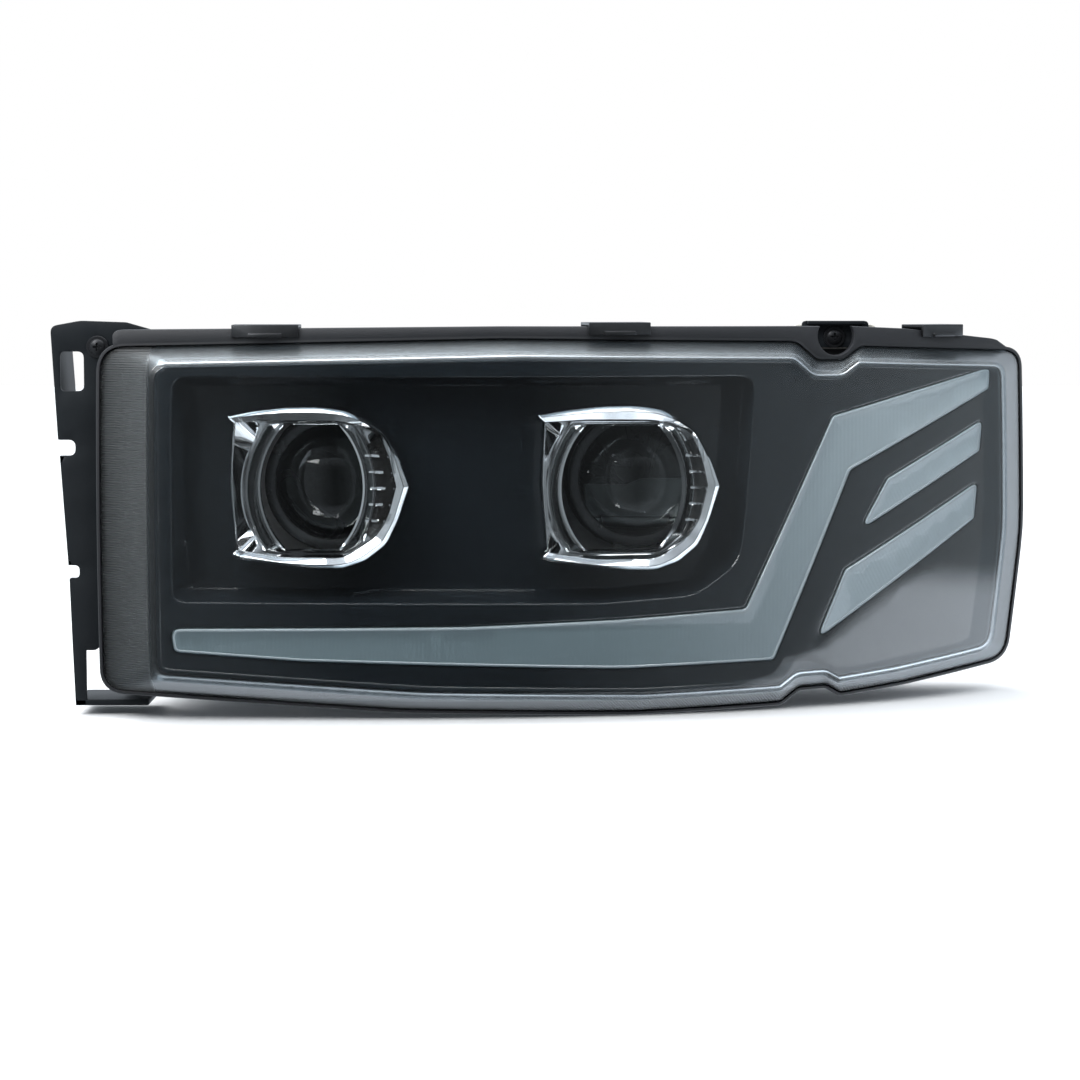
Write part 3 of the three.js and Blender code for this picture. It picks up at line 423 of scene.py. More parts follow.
SMOKED = opaque("reflector smoked alloy", (0.03, 0.032, 0.033), (0.06, 0.062, 0.064), 0.35, metal=0.8,
                bump=0.1, dust=0.0)
print("opaque finishes ready")

# %% [markdown]
# ## Clear and frosted finishes
# The cover is clear moulded plastic. Most of it is flat and invisible but for its reflections. Its inboard
# border carries fine horizontal ribs and its lower border carries slanted flutes, which blur what is behind
# them. A mask from the drawing position turns the ribs on only there. Lamps see the cover as open, through
# the Light Path node, because sunlight goes through the real cover almost unhindered.

# %% Cover optics group and material
def optics_group():
    tree, start, end = new_group("cover optics", [("Rib pitch", 0.0015), ("Flute pitch", 0.0020)],
                                 ["Height", "Frost"])
    where = add(tree, "ShaderNodeTexCoord").outputs["Object"]
    axes = add(tree, "ShaderNodeSeparateXYZ", {0: where})
    left = ramp(tree, axes.outputs[0], put(-244.5, 0, 0)[0], put(-241.8, 0, 0)[0], 1.0, 0.0)
    low = ramp(tree, axes.outputs[2], put(0, 0, 12.5)[2], put(0, 0, 15.5)[2], 1.0, 0.0)
    turn = 2 * math.pi
    rib = reckon(tree, "SINE", reckon(tree, "DIVIDE", reckon(tree, "MULTIPLY", axes.outputs[2], turn),
                                      start.outputs["Rib pitch"]))
    slant = reckon(tree, "MULTIPLY_ADD", axes.outputs[2], 0.7, axes.outputs[0])
    flute = reckon(tree, "SINE", reckon(tree, "DIVIDE", reckon(tree, "MULTIPLY", slant, turn),
                                        start.outputs["Flute pitch"]))
    height = reckon(tree, "MULTIPLY_ADD", left, rib, reckon(tree, "MULTIPLY", low, flute))
    tree.links.new(height, end.inputs["Height"])
    tree.links.new(reckon(tree, "MAXIMUM", left, reckon(tree, "MULTIPLY", low, 0.7)), end.inputs["Frost"])
    return tree


def clear_material(title, tint, rough, frost, optics, ior, milk=0.0):
    material = bpy.data.materials.new(title)
    material.use_nodes = True
    tree = material.node_tree
    shader = tree.nodes["Principled BSDF"]
    shader.inputs["Transmission Weight"].default_value = 1.0 - milk
    shader.inputs["IOR"].default_value = ior
    skin = add(tree, "ShaderNodeGroup", node_tree=GRAIN)
    skin.inputs["Scale"].default_value = 40.0
    tone = add(tree, "ShaderNodeMix", data_type="RGBA")
    tone.inputs[6].default_value = (*tint, 1)
    tone.inputs[7].default_value = (*[c * frost for c in tint], 1)
    height, mask = skin.outputs["Height"], skin.outputs["Tone"]
    if optics:
        shape = add(tree, "ShaderNodeGroup", node_tree=optics)
        height, mask = shape.outputs["Height"], shape.outputs["Frost"]
        tree.links.new(reckon(tree, "MULTIPLY_ADD", mask, 0.22, rough), shader.inputs["Roughness"])
    else:
        tree.links.new(reckon(tree, "MULTIPLY_ADD", mask, 0.02, rough), shader.inputs["Roughness"])
    tree.links.new(mask, tone.inputs[0])
    tree.links.new(tone.outputs[2], shader.inputs["Base Color"])
    relief = add(tree, "ShaderNodeBump", {"Strength": 0.5 if optics else 0.02, "Distance": 0.0005,
                                          "Height": height})
    tree.links.new(relief.outputs[0], shader.inputs["Normal"])
    path = add(tree, "ShaderNodeLightPath")
    open_air = add(tree, "ShaderNodeBsdfTransparent")
    blend = add(tree, "ShaderNodeMixShader")
    tree.links.new(path.outputs["Is Shadow Ray"], blend.inputs[0])
    tree.links.new(shader.outputs[0], blend.inputs[1])
    tree.links.new(open_air.outputs[0], blend.inputs[2])
    tree.links.new(blend.outputs[0], tree.nodes["Material Output"].inputs["Surface"])
    return material


OPTICS = optics_group()
COVER = clear_material("cover clear", (0.96, 0.975, 0.98), 0.0, 0.97, None, 1.45)
BORDER = clear_material("cover border", (0.42, 0.49, 0.53), 0.24, 0.3, OPTICS, 1.45, milk=0.01)
BORDER.node_tree.nodes["Principled BSDF"].inputs["Specular IOR Level"].default_value = 0.12
PROJECTOR = clear_material("projector glass", (0.90, 0.95, 0.94), 0.0, 0.97, None, 1.5)
CAPSULE = clear_material("bulb quartz", (0.95, 0.96, 0.97), 0.01, 0.95, None, 1.45)
print("clear finishes:", COVER.name, PROJECTOR.name, CAPSULE.name)


# %% Frosted guide materials
def frosted(title, dark, light, rough, pitch, across, painted_light_fade=None):
    """Light-guide plastic: milky blue grey with fine prisms moulded across its back."""
    material = opaque(title, dark, light, rough, coat=0.8, grain=(500.0, 0.2), bump=0.05, hair=0.0,
                      dust=0.0)
    tree = material.node_tree
    shader = tree.nodes["Principled BSDF"]
    where = add(tree, "ShaderNodeTexCoord").outputs["Object"]
    axes = add(tree, "ShaderNodeSeparateXYZ", {0: where})
    run = reckon(tree, "MULTIPLY_ADD", axes.outputs[2], across, axes.outputs[0])
    wave = reckon(tree, "SINE", reckon(tree, "MULTIPLY", run, 2 * math.pi / pitch))
    # Painted shade and light: with a fade span, the tone runs from dark at its inboard x to light at its
    # outboard x, standing in for how light falls along the bar.
    if painted_light_fade:
        tone = next(node for node in tree.nodes if node.type == "MIX" and not node.inputs[6].links)
        tree.links.new(ramp(tree, axes.outputs[0], put(painted_light_fade[0], 0, 0)[0], put(painted_light_fade[1], 0, 0)[0]),
                       tone.inputs[0])
    relief = add(tree, "ShaderNodeBump", {"Strength": 0.08, "Distance": 0.0003, "Height": wave})
    tree.links.new(relief.outputs[0], shader.inputs["Normal"])
    return material


# The main guide's tone is painted shade at its inboard end and painted light at its outboard end.
GUIDE = frosted("guide frosted", (0.145, 0.195, 0.215), (0.33, 0.39, 0.42), 0.3, 0.0026, 0.0,
                painted_light_fade=(20, 280))
# Partly real and partly painted: the rim is polished, so its roughness is lower, and its paler tones are a
# painted highlight for the light the rim catches.
GUIDE_RIM_HIGHLIGHT = frosted("guide rim painted highlight", (0.27, 0.32, 0.345), (0.37, 0.42, 0.45), 0.2, 0.0026, 0.0)
CHEVRON = frosted("guide chevron", (0.32, 0.385, 0.42), (0.39, 0.465, 0.50), 0.3, 0.0026, 0.5)
print("guide finishes ready")

# %% [markdown]
# ## The clear cover
# The real cover is one moulding: a front face that follows the sweep, a sloping border all round, and a
# skirt that is glued into the housing. It is drawn here with an outer and an inner skin, because clear
# plastic only bends light in the right way when it has a real wall. The border gets its own finish, as its
# ribs make it milky while the face stays clear.

# %% Cover outlines
LENS_EDGE = [
    (-275, 235, 16), (-25, 240, 300), (165, 237.5, 12), (179, 225.5, 9), (197, 225.5, 9), (209, 234, 8),
    (325, 229.5, 12), (327, 110, 200), (317, 22, 16), (240, 12, 60), (197, 8, 5), (187, 14, 8),
    (168, 13.5, 8), (156, 4.5, 6), (60, 2.5, 120), (-90, 6.5, 300), (-275, 20, 14),
]
FACE_X, FACE_Z = (-243.0, 312.0), (13.0, 232.5)
COVER_WALL = 2.6
edge = dense(rounded(LENS_EDGE), 6.0)
low, high = edge.min(axis=0), edge.max(axis=0)
face_edge = np.stack([
    FACE_X[0] + (edge[:, 0] - low[0]) * (FACE_X[1] - FACE_X[0]) / (high[0] - low[0]),
    FACE_Z[0] + (edge[:, 1] - low[1]) * (FACE_Z[1] - FACE_Z[0]) / (high[1] - low[1]),
], axis=1)
print("cover edge points", len(edge), "size", np.round(high - low, 1))


# %% Build the cover
def cover_skin(form, inside_by, offset):
    near, far = inset(face_edge, inside_by), inset(edge, inside_by)
    steps = [(-3.2, 0.0), (-1.6, 0.15), (-0.5, 0.6)]
    rings = [form.ring(inset(near, -d), offset + y) for d, y in steps]
    for u, y in [(0.03, 1.5), (0.1, 3.2), (0.3, 8.2), (0.5, 13.0), (0.7, 17.7), (0.88, 21.6),
                 (0.96, 23.8), (1.0, 26.0)]:
        rings.append(form.ring(near + (far - near) * u, offset * (1 - u) + y))
    rings.append(form.ring(far, 32.0))
    for k, (a, b) in enumerate(zip(rings, rings[1:])):
        form.bridge(a, b, mark=0 if k < 1 else 1)
    form.fill(rings[0], step=13.0, depth=offset, mark=0)
    return rings[-1]


def make_cover():
    form = Form()
    outer = cover_skin(form, 0.0, 0.0)
    inner = cover_skin(form, COVER_WALL, COVER_WALL)
    form.bridge(outer, inner, mark=1)
    return form.mesh("clear_cover", sharp=50)


piece("clear_cover", make_cover(), [COVER, BORDER], "housing", ["outer_lens"], "clear_lens")

# %% [markdown]
# ## The gloss black bezel
# The bezel is the large moulding that you see behind the cover. A thin bead runs round its edge, a deep
# pocket holds both shrouds, and windows let the light guides through. Gloss plastic shows every wave, so
# all its edges are rolled with rings and its flat areas use an even net.

# %% Bezel outlines
POCKET = [(-229, 217, 10), (137, 216, 10), (131, 137, 60), (127, 98, 30), (98, 78, 30), (40, 74.5, 60),
          (-229, 77, 8)]
GUIDE_MAIN = [
    (-231, 60, 6), (-44, 60.5, 200), (50.7, 63.6, 200), (131, 68, 4), (188, 190, 5), (300, 219.5, 4),
    (299, 205, 4), (200, 155, 5), (150, 34, 4), (50.9, 32, 200), (-150, 39, 200), (-229, 45, 5),
]
GUIDE_MIDDLE = [(225.7, 148.5, 3), (294, 184.5, 3), (292, 164, 3), (207, 116, 3)]
GUIDE_LOWER = [(197.2, 90.5, 3), (290.5, 143.5, 3), (288.5, 119.5, 3), (178.5, 46, 3)]
guides = [dense(rounded(corners), 5.0) for corners in (GUIDE_MAIN, GUIDE_MIDDLE, GUIDE_LOWER)]
pocket = dense(rounded(POCKET), 6.0)


class Projector:
    def __init__(self, name, x, z, y, ring_x, ring_z, shift, half, left, right, tall):
        self.name, self.x, self.z, self.y = name, x, z, y
        self.ring_x, self.ring_z, self.shift, self.half = ring_x, ring_z, shift, half
        self.left, self.right, self.tall = left, right, tall


HIGH = Projector("high", -132.0, 148.5, 68.0, -146.0, 147.0, 2.0, 32.3, 1.0, 1.0, 1.0)
LOW = Projector("low", 62.0, 148.5, 94.0, 51.5, 145.5, 0.5, 38.5, 1.09, 0.97, 1.03)
print("guides", [len(g) for g in guides], "pocket", len(pocket))


# %% Shroud opening outline
def opening(p, angles, grow_x, grow_z):
    """The barrel-shaped opening of a shroud: two arcs at the sides, straight above and below."""
    c, s = np.cos(angles), np.sin(angles)
    band = (39.5 + grow_z) / np.maximum(1e-6, np.abs(s))
    arc, shift = 58.0 + grow_x, 58.0 - p.half
    k = shift * np.abs(c)
    side = -k + np.sqrt(k * k + arc * arc - shift * shift)
    d = np.minimum(band, side)
    return np.stack([p.ring_x + p.shift + d * c, p.ring_z + d * s], axis=1)


even_angles = np.linspace(0, 2 * math.pi, 120, endpoint=False)


# %% Build the bezel
def make_bezel():
    form = Form()
    rim = form.wall(inset(face_edge, 2.0), [(2.2, 20.0), (0.0, 20.0), (0.0, 15.0), (0.3, 14.3),
                                            (0.9, 14.0), (1.8, 13.95),
                                            (2.3, 13.4), (2.9, 13.15), (3.6, 13.4), (4.1, 13.95),
                                            (5.0, 14.0)])
    mouth = form.wall(pocket, [(-1.6, 14.0), (-0.7, 14.15), (0.0, 14.8), (0.5, 16.5), (5.4, 44.5),
                               (6.4, 45.7), (8.5, 46.0)])
    windows = []
    for g in guides:
        rings = form.wall(g, [(-2.2, 14.0), (-1.2, 14.1), (-0.6, 14.7), (-0.5, 20.0)])
        windows.append(rings[0])
    form.fill(rim[-1], [mouth[0], *windows], step=9.0, depth=14.0)
    collars = []
    for p in (HIGH, LOW):
        hole = dense(opening(p, even_angles, 5.0, 5.0), 6.0)
        rings = form.wall(hole, [(-1.0, 46.0), (0.0, 46.3), (0.2, 48.4)])
        collars.append(rings[0])
    form.fill(mouth[-1], collars, step=9.0, depth=46.0)
    return form.mesh("gloss_bezel", sharp=38)


piece("gloss_bezel", make_bezel(), BEZEL, "housing", ["inner_bezel"], "gloss_black")

# %% [markdown]
# ## The chrome shrouds
# Each projector looks out through a chrome shroud: two bands with pointed tips that meet in an arrow on the
# outboard side, a curved wall on the inboard side, and a barrel-shaped opening. All rings share one set of
# angles, so the outlines for lip, band and opening can be drawn freely and still be bridged with quads.

# %% Shroud outlines
LIP = [
    (-49.5, 46.3, 0.8), (-30, 49.3, 60), (-12, 51.2, 80), (8, 51.5, 60), (25, 49.3, 25), (35, 44.5, 20),
    (48.8, 35.5, 20), (57.5, 21, 30), (64.5, 1.8, 1.5), (57.5, -19.5, 30), (50.3, -34.5, 15),
    (37, -44.5, 15),
    (22.5, -49.5, 20), (4, -49.2, 80), (-16, -47.2, 80), (-40, -43.7, 10), (-47.5, -41.2, 0.8),
    (-43.2, -38.4, 0.8), (-47.2, 5, 160), (-44.9, 42.2, 0.8),
]
BAND = [
    (-43.8, 41.6, 0.5), (-20, 42.8, 60), (17.8, 42.4, 30), (33, 40.5, 20), (45.5, 34, 14), (52, 20, 20),
    (56, 1.8, 1.5), (50.5, -19, 20), (42.5, -30, 12), (24, -42.4, 20), (-14, -42.4, 80),
    (-42.3, -37.8, 0.5),
    (-46.3, 5, 160),
]


def stretched(corners, p):
    return [(x * (p.left if x < 0 else p.right), z * p.tall, r) for x, z, r in corners]


def reach(outline, angles):
    """Distance from the centre to a closed outline along each angle."""
    a, b = outline, np.roll(outline, -1, axis=0)
    out = []
    for t in angles:
        d = np.array([math.cos(t), math.sin(t)])
        e = b - a
        det = d[0] * -e[:, 1] + d[1] * e[:, 0]
        det = np.where(np.abs(det) < 1e-12, 1e-12, det)
        r = (a[:, 0] * -e[:, 1] + a[:, 1] * e[:, 0]) / det
        u = (d[0] * a[:, 1] - d[1] * a[:, 0]) / det
        good = (u >= -1e-6) & (u <= 1 + 1e-6) & (r > 0)
        out.append(r[good].min())
    return np.array(out)


print("lip corners", len(LIP), "band corners", len(BAND))


# %% Build one shroud
def make_shroud(p):
    lip = dense(rounded(stretched(LIP, p), step=0.2), 2.5)
    angles = np.arctan2(lip[:, 1], lip[:, 0])
    way = np.stack([np.cos(angles), np.sin(angles)], axis=1)
    centre = np.array([p.ring_x, p.ring_z])
    lip_r = np.linalg.norm(lip, axis=1)
    band_r = np.minimum(reach(dense(rounded(stretched(BAND, p), step=0.2), 2.5), angles), lip_r - 0.7)
    wall_side = np.clip((-lip[:, 0] - 41.0 * p.left) / 3.0, 0,
                        1) * np.clip((44.5 - np.abs(lip[:, 1])) / 4.0, 0, 1)

    def at(radius):
        return centre + way * radius[:, None]

    def gap_ring(grow_x, grow_z):
        pts = opening(p, np.linspace(0, 2 * math.pi, 480, endpoint=False), grow_x, grow_z) - centre
        return reach(pts, angles)

    def with_drop(outline_r, depth, drop=3.5):
        flat = at(outline_r)
        return flat, sweep(flat[:, 0], flat[:, 1]) + depth + drop * wall_side

    form = Form()

    def ring(radius, depth, drop=3.5):
        flat, y = with_drop(radius, depth, drop)
        return form.ring(flat, lambda outline: y)

    width = lip_r - band_r
    throat, rail = gap_ring(0, 0), gap_ring(8.5, 1.6)
    rail = np.minimum(rail, band_r - 1.0)
    throat = np.minimum(throat, rail - 0.8)
    profile = [
        (lip_r - 0.6, 40.0, 0.0), (lip_r, 30.0, 1.0), (lip_r, 15.4, 3.0), (lip_r - 0.25, 14.0, 3.5),
        (lip_r - 0.8 * np.minimum(1, width / 3), 13.3, 3.5), (lip_r - 0.36 * width, 12.0, 3.5),
        (lip_r - 0.42 * width, 12.0, 3.5), (band_r + 0.5 * np.minimum(1, width / 3), 14.2, 2.5),
        (band_r, 14.9, 2.5),
        (band_r - 0.3, 17.0, 1.5),
    ]
    rings = [ring(*row) for row in profile]
    inner = [
        (rail + np.minimum(1.0, 0.2 * (band_r - rail)), 30.0, 0.0), (rail, 29.4, 0.0),
        (rail - 0.15 * (rail - throat), 29.4, 0.0), (rail - 0.22 * (rail - throat), 31.0, 0.0),
        (throat + 0.25 * (rail - throat), 37.5, 0.0), (throat + 0.15 * (rail - throat), 37.0, 0.0),
        (throat, 37.4, 0.0), (throat, 44.0, 0.0), (throat + 2.4, 44.0, 0.0),
    ]
    rings += [ring(*row) for row in inner]
    panel = len(profile) - 1
    for k, (a, b) in enumerate(zip(rings, rings[1:])):
        start = len(form.faces)
        form.bridge(a, b)
        if k == panel:
            for i in range(start, len(form.faces)):
                x, z = lip[i - start]
                if x > 30 and abs(z) < 36:
                    form.marks[i] = 1
    form.bridge(rings[-1], rings[0])
    return form.mesh(p.name + "_shroud", sharp=24)


# %% Fins across the shroud's vent
def make_fins(p):
    form = Form()
    band = dense(rounded(stretched(BAND, p), step=0.2), 2.5)
    for k in range(5):
        z = (k - 2) * 10.2
        rows = []
        right = band[band[:, 0] > 0]
        x1 = float(np.interp(z, right[np.argsort(right[:, 1])][:, 1], right[np.argsort(right[:, 1])][:, 0]))
        rim_pts = opening(p, np.linspace(-1.2, 1.2, 90), 6.2, 1.6) - (p.ring_x, p.ring_z)
        x0 = float(np.interp(z, rim_pts[:, 1], rim_pts[:, 0]))
        outline = [(x0 - 1.0, 27.6), (x0 + 1.5, 26.2), (x0 + 3.2, 27.0), (x1 - 2.6, 22.0),
                   (x1 - 0.8, 17.4), (x1 + 0.6, 17.0),
                   (x1 + 0.6, 21.0), (x0 + 3.5, 33.0), (x0 - 1.0, 33.0)]
        for h, grow in [(-0.95, -0.35), (-0.65, 0.0), (0.65, 0.0), (0.95, -0.35)]:
            pts = inset(np.array(outline), -grow)
            start = len(form.points)
            for x, depth in pts:
                px, pz = p.ring_x + x, p.ring_z + z + h
                form.points.append((px, float(sweep(px, pz)) + depth, pz))
            rows.append(list(range(start, start + len(pts))))
        for a, b in zip(rows, rows[1:]):
            form.bridge(a, b)
        form.faces += [tuple(rows[0]), tuple(rows[-1])]
        form.marks += [0, 0]
    return form.mesh(p.name + "_shroud_fins", sharp=30)


for p in (HIGH, LOW):
    piece(p.name + "_shroud", make_shroud(p), [CHROME, VENT], "housing", [p.name + "_beam_shroud"],
          "bright_chrome")
    piece(p.name + "_shroud_fins", make_fins(p), CHROME, "housing", [p.name + "_beam_shroud"],
          "bright_chrome")

# %% [markdown]
# ## Daytime light guides
# The three guides are thick frosted bars that lie flush in the bezel. Their polished rims catch the light,
# and
# that highlight is painted: each bar carries a second, paler finish on its rounded rim.

# %% Build the light guides
def make_guide(outline, name):
    form = Form()
    outline = inset(outline, 0.0)
    rings = form.wall(outline, [(0.6, 20.0), (0.0, 19.6), (0.0, 14.4), (0.25, 13.5), (0.8, 13.05)], mark=0)
    # Mark 1 gives the rounded rim the second finish, whose paler tones are a painted highlight.
    rim = form.wall(outline, [(0.8, 13.05), (1.6, 13.0), (2.0, 13.3)], mark=1)
    form.bridge(rings[-1], rim[0], mark=1)
    form.fill(rim[-1], step=8.0, depth=13.3, mark=0)
    form.fill(rings[0], step=12.0, depth=20.0, mark=0)
    return form.mesh(name, sharp=35)


for label, outline, body_finish in zip(("main", "middle", "lower"), guides, (GUIDE, CHEVRON, CHEVRON)):
    piece("light_guide_" + label, make_guide(outline, "light_guide_" + label), [body_finish, GUIDE_RIM_HIGHLIGHT],
          "housing",
          ["drl_guide_" + label], "light_guide")

# %% [markdown]
# ## Projector lenses and their rings
# A projector lens is a thick glass dome held in a ring. Both are turned shapes, so they are spun from a
# profile with many sides: the dome must look round even in its reflections.

# %% Turned shapes
def spun(profile, x, z, sides=96, mark=None):
    """Spin (radius, y) points about a y axis through x, z."""
    form = Form()
    turn = np.linspace(0, 2 * math.pi, sides, endpoint=False)
    rings = []
    for r, y in profile:
        if r < 1e-6:
            form.points.append((x, y, z))
            rings.append([len(form.points) - 1])
        else:
            flat = np.stack([x + r * np.cos(turn), z + r * np.sin(turn)], axis=1)
            rings.append(form.ring(flat, level(y)))
    for k, (a, b) in enumerate(zip(rings, rings[1:])):
        tone = mark[k] if mark else 0
        if len(a) == 1 or len(b) == 1:
            hub, loop = (a, b) if len(a) == 1 else (b, a)
            for i in range(len(loop)):
                form.faces.append((hub[0], loop[i], loop[(i + 1) % len(loop)]))
                form.marks.append(tone)
        else:
            form.bridge(a, b, tone)
    return form


def dome_profile(p):
    dome_r, dome_h = 36.5, 16.0
    r = (dome_r ** 2 + dome_h ** 2) / (2 * dome_h)
    top = math.asin(dome_r / r)
    turns = [top * k / 18 for k in range(19)]
    points = [(r * math.sin(turn), p.y - dome_h + r * (1 - math.cos(turn))) for turn in turns]
    return points + [(37.4, p.y - 0.3), (39.6, p.y), (40.0, p.y + 0.5), (40.0, p.y + 3.6),
                     (39.5, p.y + 4.0), (0, p.y + 4.0)]


for p in (HIGH, LOW):
    piece(p.name + "_lens", spun(dome_profile(p), p.x, p.z).mesh(p.name + "_lens", sharp=30), PROJECTOR,
          "carrier", [p.name + "_projector_lens"], "projector_glass")
    ring = [(37.1, p.y - 0.4), (37.0, p.y - 1.6), (37.6, p.y - 2.5), (42.2, p.y - 2.6), (43.4, p.y - 2.3),
            (44, p.y - 1.4), (44, p.y + 8.6), (43.6, p.y + 9), (40.6, p.y + 9), (40.35, p.y + 8.6),
            (40.35, p.y - 0.35), (37.1, p.y - 0.4)]
    piece(p.name + "_lens_rim", spun(ring, p.x, p.z).mesh(p.name + "_lens_rim", sharp=40), DARK_RING,
          "carrier", [p.name + "_lens_ring"], "cast_alloy")

# %% [markdown]
# ## The mounting bracket
# The bracket is folded and welded steel with a powder coat. A flat outline with holes is pushed to the
# sheet's thickness; small steps at both faces round the edge, as thick paint does.

# %% Flat plates with holes
def plate_form(form, outline, holes, y0, y1, bevel=0.6, mark=0, step=14.0):
    """A flat plate from y0 to y1 with rolled edges, in an existing form."""
    profile = [(bevel, y0), (bevel * 0.3, y0 + bevel * 0.3), (0.0, y0 + bevel), (0.0, y1 - bevel),
               (bevel * 0.3, y1 - bevel * 0.3), (bevel, y1)]

    def side(loop, sign):
        rings = [form.ring(inset(loop, sign * d), level(y)) for d, y in profile]
        for a, b in zip(rings, rings[1:]):
            form.bridge(a, b, mark)
        return rings[0], rings[-1]

    front, back = side(outline, 1)
    pairs = [side(hole, -1) for hole in holes]
    form.fill(front, [a for a, b in pairs], step=step, depth=level(y0), mark=mark)
    form.fill(back, [b for a, b in pairs], step=step, depth=level(y1), mark=mark)
    return form


def circle(x, z, r, sides=32):
    turn = np.linspace(0, 2 * math.pi, sides, endpoint=False)
    return np.stack([x + r * np.cos(turn), z + r * np.sin(turn)], axis=1)


def block(form, x0, x1, y0, y1, z0, z1, bevel=0.8, mark=0):
    corners = [(x0, z0, bevel * 2), (x1, z0, bevel * 2), (x1, z1, bevel * 2), (x0, z1, bevel * 2)]
    return plate_form(form, rounded(corners, 0.4), [], y0, y1, bevel, mark, step=60.0)


BRACKET = [
    (-310, 248, 5), (-291, 251.5, 20), (-262, 250.5, 8), (-241, 244.5, 3), (-241, 237, 3), (-268, 236, 6),
    (-276, 226, 5), (-276, 60, 8), (-282, 41.5, 6), (-290, 41.5, 0.5), (-290, 6, 0.5), (-297, 6, 0.5),
    (-298.5, 43, 0.5), (-300, 88, 1.5), (-293.5, 88, 3.4), (-293.5, 96, 3.4), (-300.5, 96, 0.5),
    (-305, 166, 0.5), (-295, 166, 4.4), (-295, 176, 4.4), (-306, 176, 1.0),
]
SLOT = [(-304, 232, 3), (-289, 232, 4), (-289, 207, 4), (-304, 207, 3)]


# %% Build the bracket
def make_bracket():
    form = Form()
    outline = dense(rounded(BRACKET, 0.25), 9.0)
    plate_form(form, outline, [dense(rounded(SLOT, 0.3), 6.0), circle(-280, 235, 3.0)], 54.0, 58.0)
    for strip in ([(-309.8, 244, 1), (-306.8, 244, 1), (-302.7, 182, 1), (-305.7, 182, 1)],
                  [(-304.3, 160, 1), (-301.3, 160, 1), (-297.5, 102, 1), (-300.5, 102, 1)]):
        plate_form(form, dense(rounded(strip, 0.5), 9.0), [], 55.0, 117.8, 0.5)
    pad = dense(rounded([(-302, 98, 3), (-276, 98, 3), (-276, 198, 3), (-302, 198, 3)], 0.4), 9.0)
    plate_form(form, pad, [circle(-289, 180, 4.5), circle(-289, 116, 4.5)], 114.0, 118.0, 0.4)
    block(form, -297, -250, 54.0, 100.0, 6.0, 10.0, 0.8)
    return form.mesh("side_bracket_coat", sharp=40)


piece("side_bracket_coat", make_bracket(), POWDER, "housing", ["side_bracket"], "bracket_black")

# %% [markdown]
# ## The rear housing
# The tub is one black moulding. Its rim carries the cover's glue groove and a ledge with snap features; the
# wall slopes back to a flat rear face with two service openings. Ribs stiffen the rear wall.

# %% Housing outlines
LEDGE = [
    (-268, 222, 2), (-268, 246, 6), (-25, 248, 300), (170, 247.5, 100), (240, 245.5, 100), (306, 238, 20),
    (328, 229, 6), (300, 222, 2), (211, 226, 4), (190, 219, 4), (150, 230, 4),
]
rear_edge = np.stack([25 + (edge[:, 0] - 25) * 0.9, 120 + (edge[:, 1] - 120) * 0.85], axis=1)
REAR_Y, TUB_WALL = 212.0, 3.0
DIP_X, DIP_Z, DIP_R = 192.0, 241.0, 12.5


# %% Build the housing
def make_housing():
    form = Form()
    groove_in, groove_out = inset(edge, 3.4), inset(edge, -0.4)
    rim = [form.ring(groove_in, 24.6), form.ring(inset(edge, 3.9), 24.0), form.ring(inset(edge, 5.2), 24.0),
           form.ring(inset(edge, 5.8), 24.6), form.ring(inset(edge, 5.8), 38.0)]
    inner_rear = inset(rear_edge, TUB_WALL)
    corner = inner_rear + (inset(edge, 5.8) - inner_rear) * 0.02
    rim.append(form.ring(corner, level(REAR_Y - TUB_WALL - 2.0)))
    rim.append(form.ring(inset(inner_rear, 2.0), level(REAR_Y - TUB_WALL)))
    for a, b in zip(rim, rim[1:]):
        form.bridge(a, b)
    outer = [form.ring(groove_in, 36.0), form.ring(groove_out, 36.0), form.ring(groove_out, 24.6)]
    for inwards, depth in [(-0.8, 24.0), (-2.1, 24.0), (-2.6, 24.6), (-2.6, 39.4), (-2.1, 40.0), (2.4, 40.0),
                           (2.9, 40.6)]:
        outer.append(form.ring(inset(edge, inwards), depth))
    outer.append(form.ring(rear_edge + (inset(edge, 2.9) - rear_edge) * 0.02, level(REAR_Y - 3.0)))
    outer.append(form.ring(inset(rear_edge, 0.9), level(REAR_Y - 0.8)))
    outer.append(form.ring(inset(rear_edge, 3.0), level(REAR_Y)))
    for a, b in zip(outer, outer[1:]):
        form.bridge(a, b)
    form.bridge(rim[0], outer[0])
    holes = []
    for x, z in [(-132.0, 148.5), (62.0, 148.5)]:
        turn = circle(x, z, 1.0, 72) - (x, z)
        stack = [(42.0, 209.0), (42.0, 218.4), (42.6, 219.0), (45.4, 219.0), (46.0, 218.4), (46.0, 213.0),
                 (47.2, 212.0)]
        rings = [form.ring(turn * q + (x, z), level(y)) for q, y in stack]
        for a, b in zip(rings, rings[1:]):
            form.bridge(a, b)
        holes.append((rings[0], rings[-1]))
    for x, z, r in [(-36, 95, 4.2), (-36, 54, 3.35), (120, 205, 9.0), (-200, 190, 5.4), (230, 60, 5.4)]:
        inner = form.ring(circle(x, z, r, 28), level(209.0))
        back = form.ring(circle(x, z, r, 28), level(212.0))
        form.bridge(inner, back)
        holes.append((inner, back))
    form.fill(rim[-1], [a for a, b in holes], step=14.0, depth=level(209.0))
    form.fill(outer[-1], [b for a, b in holes], step=14.0, depth=level(212.0))
    return form.mesh("housing_tub", sharp=36)


